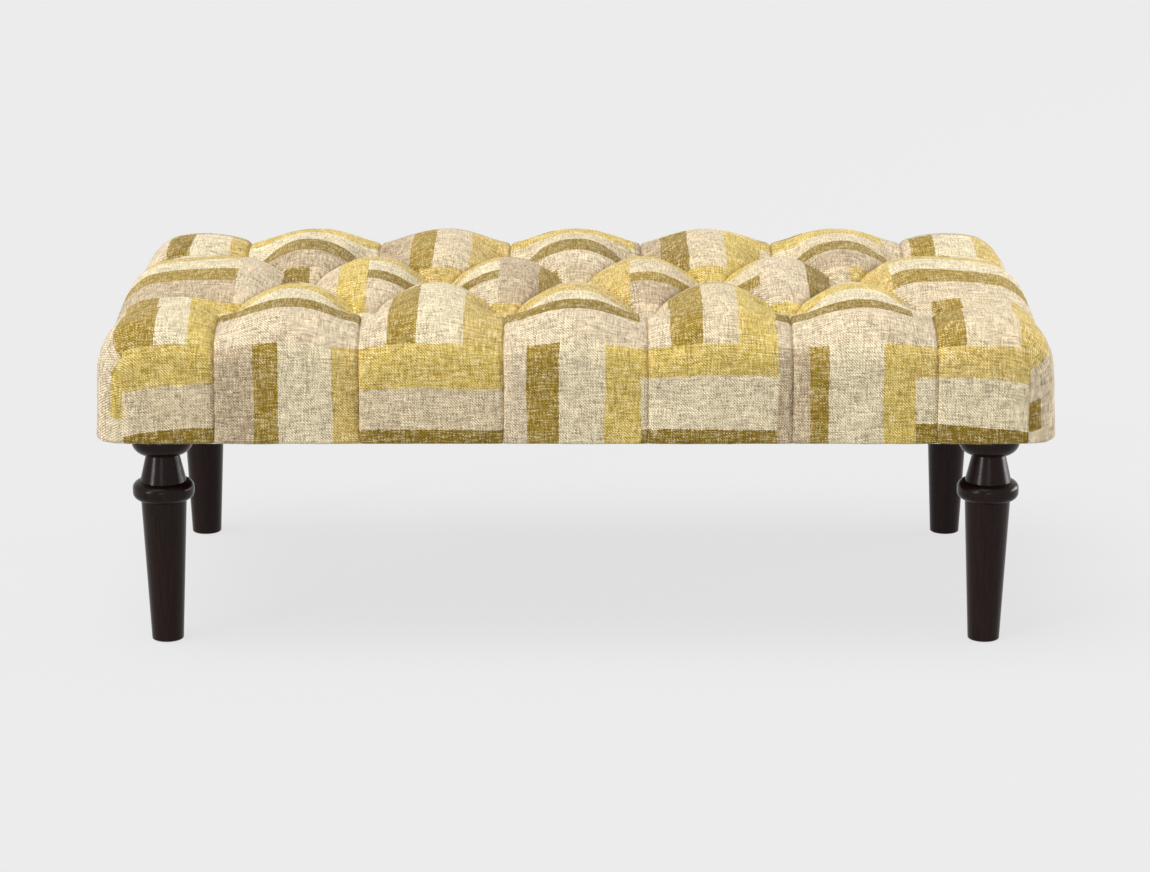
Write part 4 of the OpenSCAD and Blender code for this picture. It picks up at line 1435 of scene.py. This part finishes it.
    def _drop(self, flat: Array, depth: Array) -> Array:
        """How far the cambric hangs down: over the middle, and a little between its staples.

        Args:
            flat: The points in plan.
            depth: Their distance from the cambric's edge.

        Returns:
            The drop of each point.
        """
        x, y = flat[:, 0], flat[:, 1]
        from_staples = np.abs(np.abs(flat) - np.array(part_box("dust_cover")[1][:2]) + self.staple_inset)
        along = np.where(from_staples[:, 1] < from_staples[:, 0], x, y)
        between = (1 - np.cos(2 * math.pi * along / self.staple_step + math.pi * (along == y))) / 2
        drop = self.sag * smooth(depth / self.sag_run)
        drop = drop + self.pucker * between * np.exp(-depth / self.pucker_run)
        soft = uneven(x, y, self.ripples, self.ripple_seed)
        return drop + self.ripple * soft * smooth(depth / self.ripple_run)


def grid_faces(index: Array) -> list[list[int]]:
    """The faces between the lines of a grid of point numbers, facing up."""
    corners = [index[:-1, :-1], index[1:, :-1], index[1:, 1:], index[:-1, 1:]]
    return np.stack(corners, axis=-1).reshape(-1, 4).tolist()


@dataclass
class Carried:
    """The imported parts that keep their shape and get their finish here."""

    finishes: Finishes

    def dress(self) -> int:
        """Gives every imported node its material.

        Returns:
            How many nodes were dressed.
        """
        f = self.finishes
        by_start = {
            "rail_front": f.pine_x, "rail_back": f.pine_x, "rail_left": f.pine_y, "rail_right": f.pine_y,
            "cross_rail": f.pine_y, "corner_block_screws": f.steel, "corner_block": f.pine_x,
            "deck_board": f.plywood, "deck_screws": f.steel, "leg": f.leg, "glide_nails": f.steel,
            "glide": f.nylon, "button_backs": f.steel, "tufting_twine": f.twine, "twine_washers": f.fibre,
            "hanger_bolts": f.steel, "t_nuts": f.steel, "rail_dowels": f.dowel, "pull_strip_staples": f.wire,
            "dust_cover_staples": f.wire, "pull_strips": f.calico, "dust_cover": f.cambric, "cover": f.cover,
            "batting": f.batting, "foam_block": f.foam, "button": f.cover,
        }
        for name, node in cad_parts.items():
            start = max((s for s in by_start if name.startswith(s)), key=len)
            node.data.materials.clear()
            node.data.materials.append(by_start[start])
            node.data.polygons.foreach_set("material_index", [0] * len(node.data.polygons))
        return len(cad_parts)


@dataclass(frozen=True)
class Sun:
    """A soft lamp far away: its strength, its width in degrees and the way from the seat to it."""

    name: str
    strength: float
    spread: float
    towards: tuple[float, float, float]


@dataclass(frozen=True)
class Panel:
    """An upright soft panel: its power in watts, its place, and its width and height."""

    name: str
    power: float
    place: tuple[float, float, float]
    size: tuple[float, float]


@dataclass
class Studio:
    """A pale floor, soft lamps and the camera."""

    backdrop: float = linear(235, 235, 235)[0]
    floor_colour: float = 0.5
    floor_lit_share: float = 0.19
    floor_light: float = 1.2
    floor_half: float = 30.0
    floor_drop: float = 0.0004
    sky: float = 0.33
    suns: tuple[Sun, ...] = (
        Sun("key", 2.76, 50, (-0.26, -0.12, 0.86)),
        Sun("ring_glint", 0.66, 8, (-0.78, -0.61, 0.12)),
        Sun("neck_glint", 0.30, 4, (-0.66, -0.62, 0.42)),
        Sun("glint_right", 0.20, 5, (-0.06, -0.99, 0.10)),
    )
    panel: Panel = Panel("edge_panel", 130, (4.6, 1.6, 0.66), (3.0, 1.3))
    camera_place: tuple[float, float, float] = (-0.0009, -4.552, 1.390)
    camera_pitch: float = 14.61
    lens: float = 110.25
    far_end: float = 100.0

    def build(self) -> None:
        """Builds the floor, the world, the lamps and the camera."""
        self._floor()
        self._world()
        for sun in self.suns:
            light = self._lamp(sun.name, "SUN", sun.strength, sun.towards).data
            light.angle = math.radians(sun.spread)
        self._panel()
        self._camera()
        bpy.context.scene.view_settings.view_transform = "Standard"

    def _seen(self, tree: bpy.types.NodeTree) -> Socket:
        """Adds nodes that tell what is seen from what only gives light.

        Args:
            tree: The nodes that these are added to.

        Returns:
            A socket that is 1 to a camera, a gloss and clear glass, and 0 to all other light.
        """
        path = tree.nodes.new("ShaderNodeLightPath")
        seen = path.outputs["Is Camera Ray"]
        for ray in ("Is Glossy Ray", "Is Transmission Ray"):
            either = tree.nodes.new("ShaderNodeMath")
            either.operation = "MAXIMUM"
            tree.links.new(seen, either.inputs[0])
            tree.links.new(path.outputs[ray], either.inputs[1])
            seen = either.outputs[0]
        return seen

    def _floor(self) -> None:
        """A floor that shows the backdrop's colour with the object's shadow on it."""
        half, level = self.floor_half, -self.floor_drop
        points = [[-half, -half, level], [half, -half, level], [half, half, level], [-half, half, level]]
        make = Shading("floor")
        lit = make.add("BsdfDiffuse", {"Color": (*[self.floor_colour] * 3, 1)}).outputs[0]
        own = self.backdrop - self.floor_lit_share * self.floor_colour * self.floor_light
        glow_level = own / (1 - self.floor_lit_share)
        glow = make.add("Emission", {"Color": (1, 1, 1, 1), "Strength": glow_level}).outputs[0]
        share = make.maths("MULTIPLY", self._seen(make.tree), 1 - self.floor_lit_share)
        surface = make.add("MixShader", {0: share, 1: lit, 2: glow})
        make.add("OutputMaterial", {0: surface.outputs[0]})
        mesh = bpy.data.meshes.new("floor")
        mesh.from_pydata(points, [], [list(range(len(points)))])
        mesh.materials.append(make.material)
        floor = bpy.data.objects.new("floor", mesh)
        bpy.context.scene.collection.objects.link(floor)

    def _world(self) -> None:
        """Even light from all round, and the backdrop's colour where it is seen."""
        world = bpy.data.worlds.new("studio")
        world.use_nodes = True
        bpy.context.scene.world = world
        tree = world.node_tree
        tree.nodes.clear()
        sky, shown = tree.nodes.new("ShaderNodeBackground"), tree.nodes.new("ShaderNodeBackground")
        sky.inputs[1].default_value = self.sky
        shown.inputs[1].default_value = self.backdrop
        for node in (sky, shown):
            node.inputs[0].default_value = (1, 1, 1, 1)
        mix, out = tree.nodes.new("ShaderNodeMixShader"), tree.nodes.new("ShaderNodeOutputWorld")
        tree.links.new(self._seen(tree), mix.inputs[0])
        tree.links.new(sky.outputs[0], mix.inputs[1])
        tree.links.new(shown.outputs[0], mix.inputs[2])
        tree.links.new(mix.outputs[0], out.inputs[0])

    def _lamp(self, name: str, kind: str, strength: float,
              towards: tuple[float, float, float]) -> bpy.types.Object:
        """Adds a lamp.

        Args:
            name: The lamp's name.
            kind: Its type.
            strength: Its strength.
            towards: The way from what it lights to the lamp.

        Returns:
            The lamp.
        """
        light = bpy.data.lights.new(name, kind)
        light.energy = strength
        lamp = bpy.data.objects.new(name, light)
        lamp.rotation_mode = "QUATERNION"
        lamp.rotation_quaternion = Vector(towards).to_track_quat("Z", "Y")
        bpy.context.scene.collection.objects.link(lamp)
        return lamp

    def _panel(self) -> None:
        """The panel that shows along the edges of the legs."""
        panel = self.panel
        lamp = self._lamp(panel.name, "AREA", panel.power, (panel.place[0], panel.place[1], 0))
        lamp.data.shape = "RECTANGLE"
        lamp.data.size, lamp.data.size_y = panel.size
        lamp.location = panel.place
        lamp.visible_camera = False

    def _camera(self) -> None:
        """The camera at the photograph's angle."""
        data = bpy.data.cameras.new("camera")
        data.lens = self.lens
        data.clip_end = self.far_end
        camera = bpy.data.objects.new("camera", data)
        camera.location = self.camera_place
        camera.rotation_euler = (math.radians(90 - self.camera_pitch), 0, 0)
        bpy.context.scene.collection.objects.link(camera)
        bpy.context.scene.camera = camera


def main() -> None:
    """Builds every piece in order."""
    logging.basicConfig(level=logging.INFO, format="%(message)s")
    Studio().build()
    finishes = Finishes()
    LOG.info("dressed %d packed nodes", Carried(finishes).dress())
    shape = SeatShape()
    made = [TuftedCover(shape, finishes.cover).build()]
    made += CoveredButtons(finishes.cover).build()
    made += Padding(shape, finishes.batting, finishes.foam).build()
    made += Underside(shape, finishes.calico, finishes.cambric).build()
    for piece in made:
        LOG.info("built %s: %d faces", piece.name, len(piece.data.polygons))


if __name__ == "__main__":
    main()
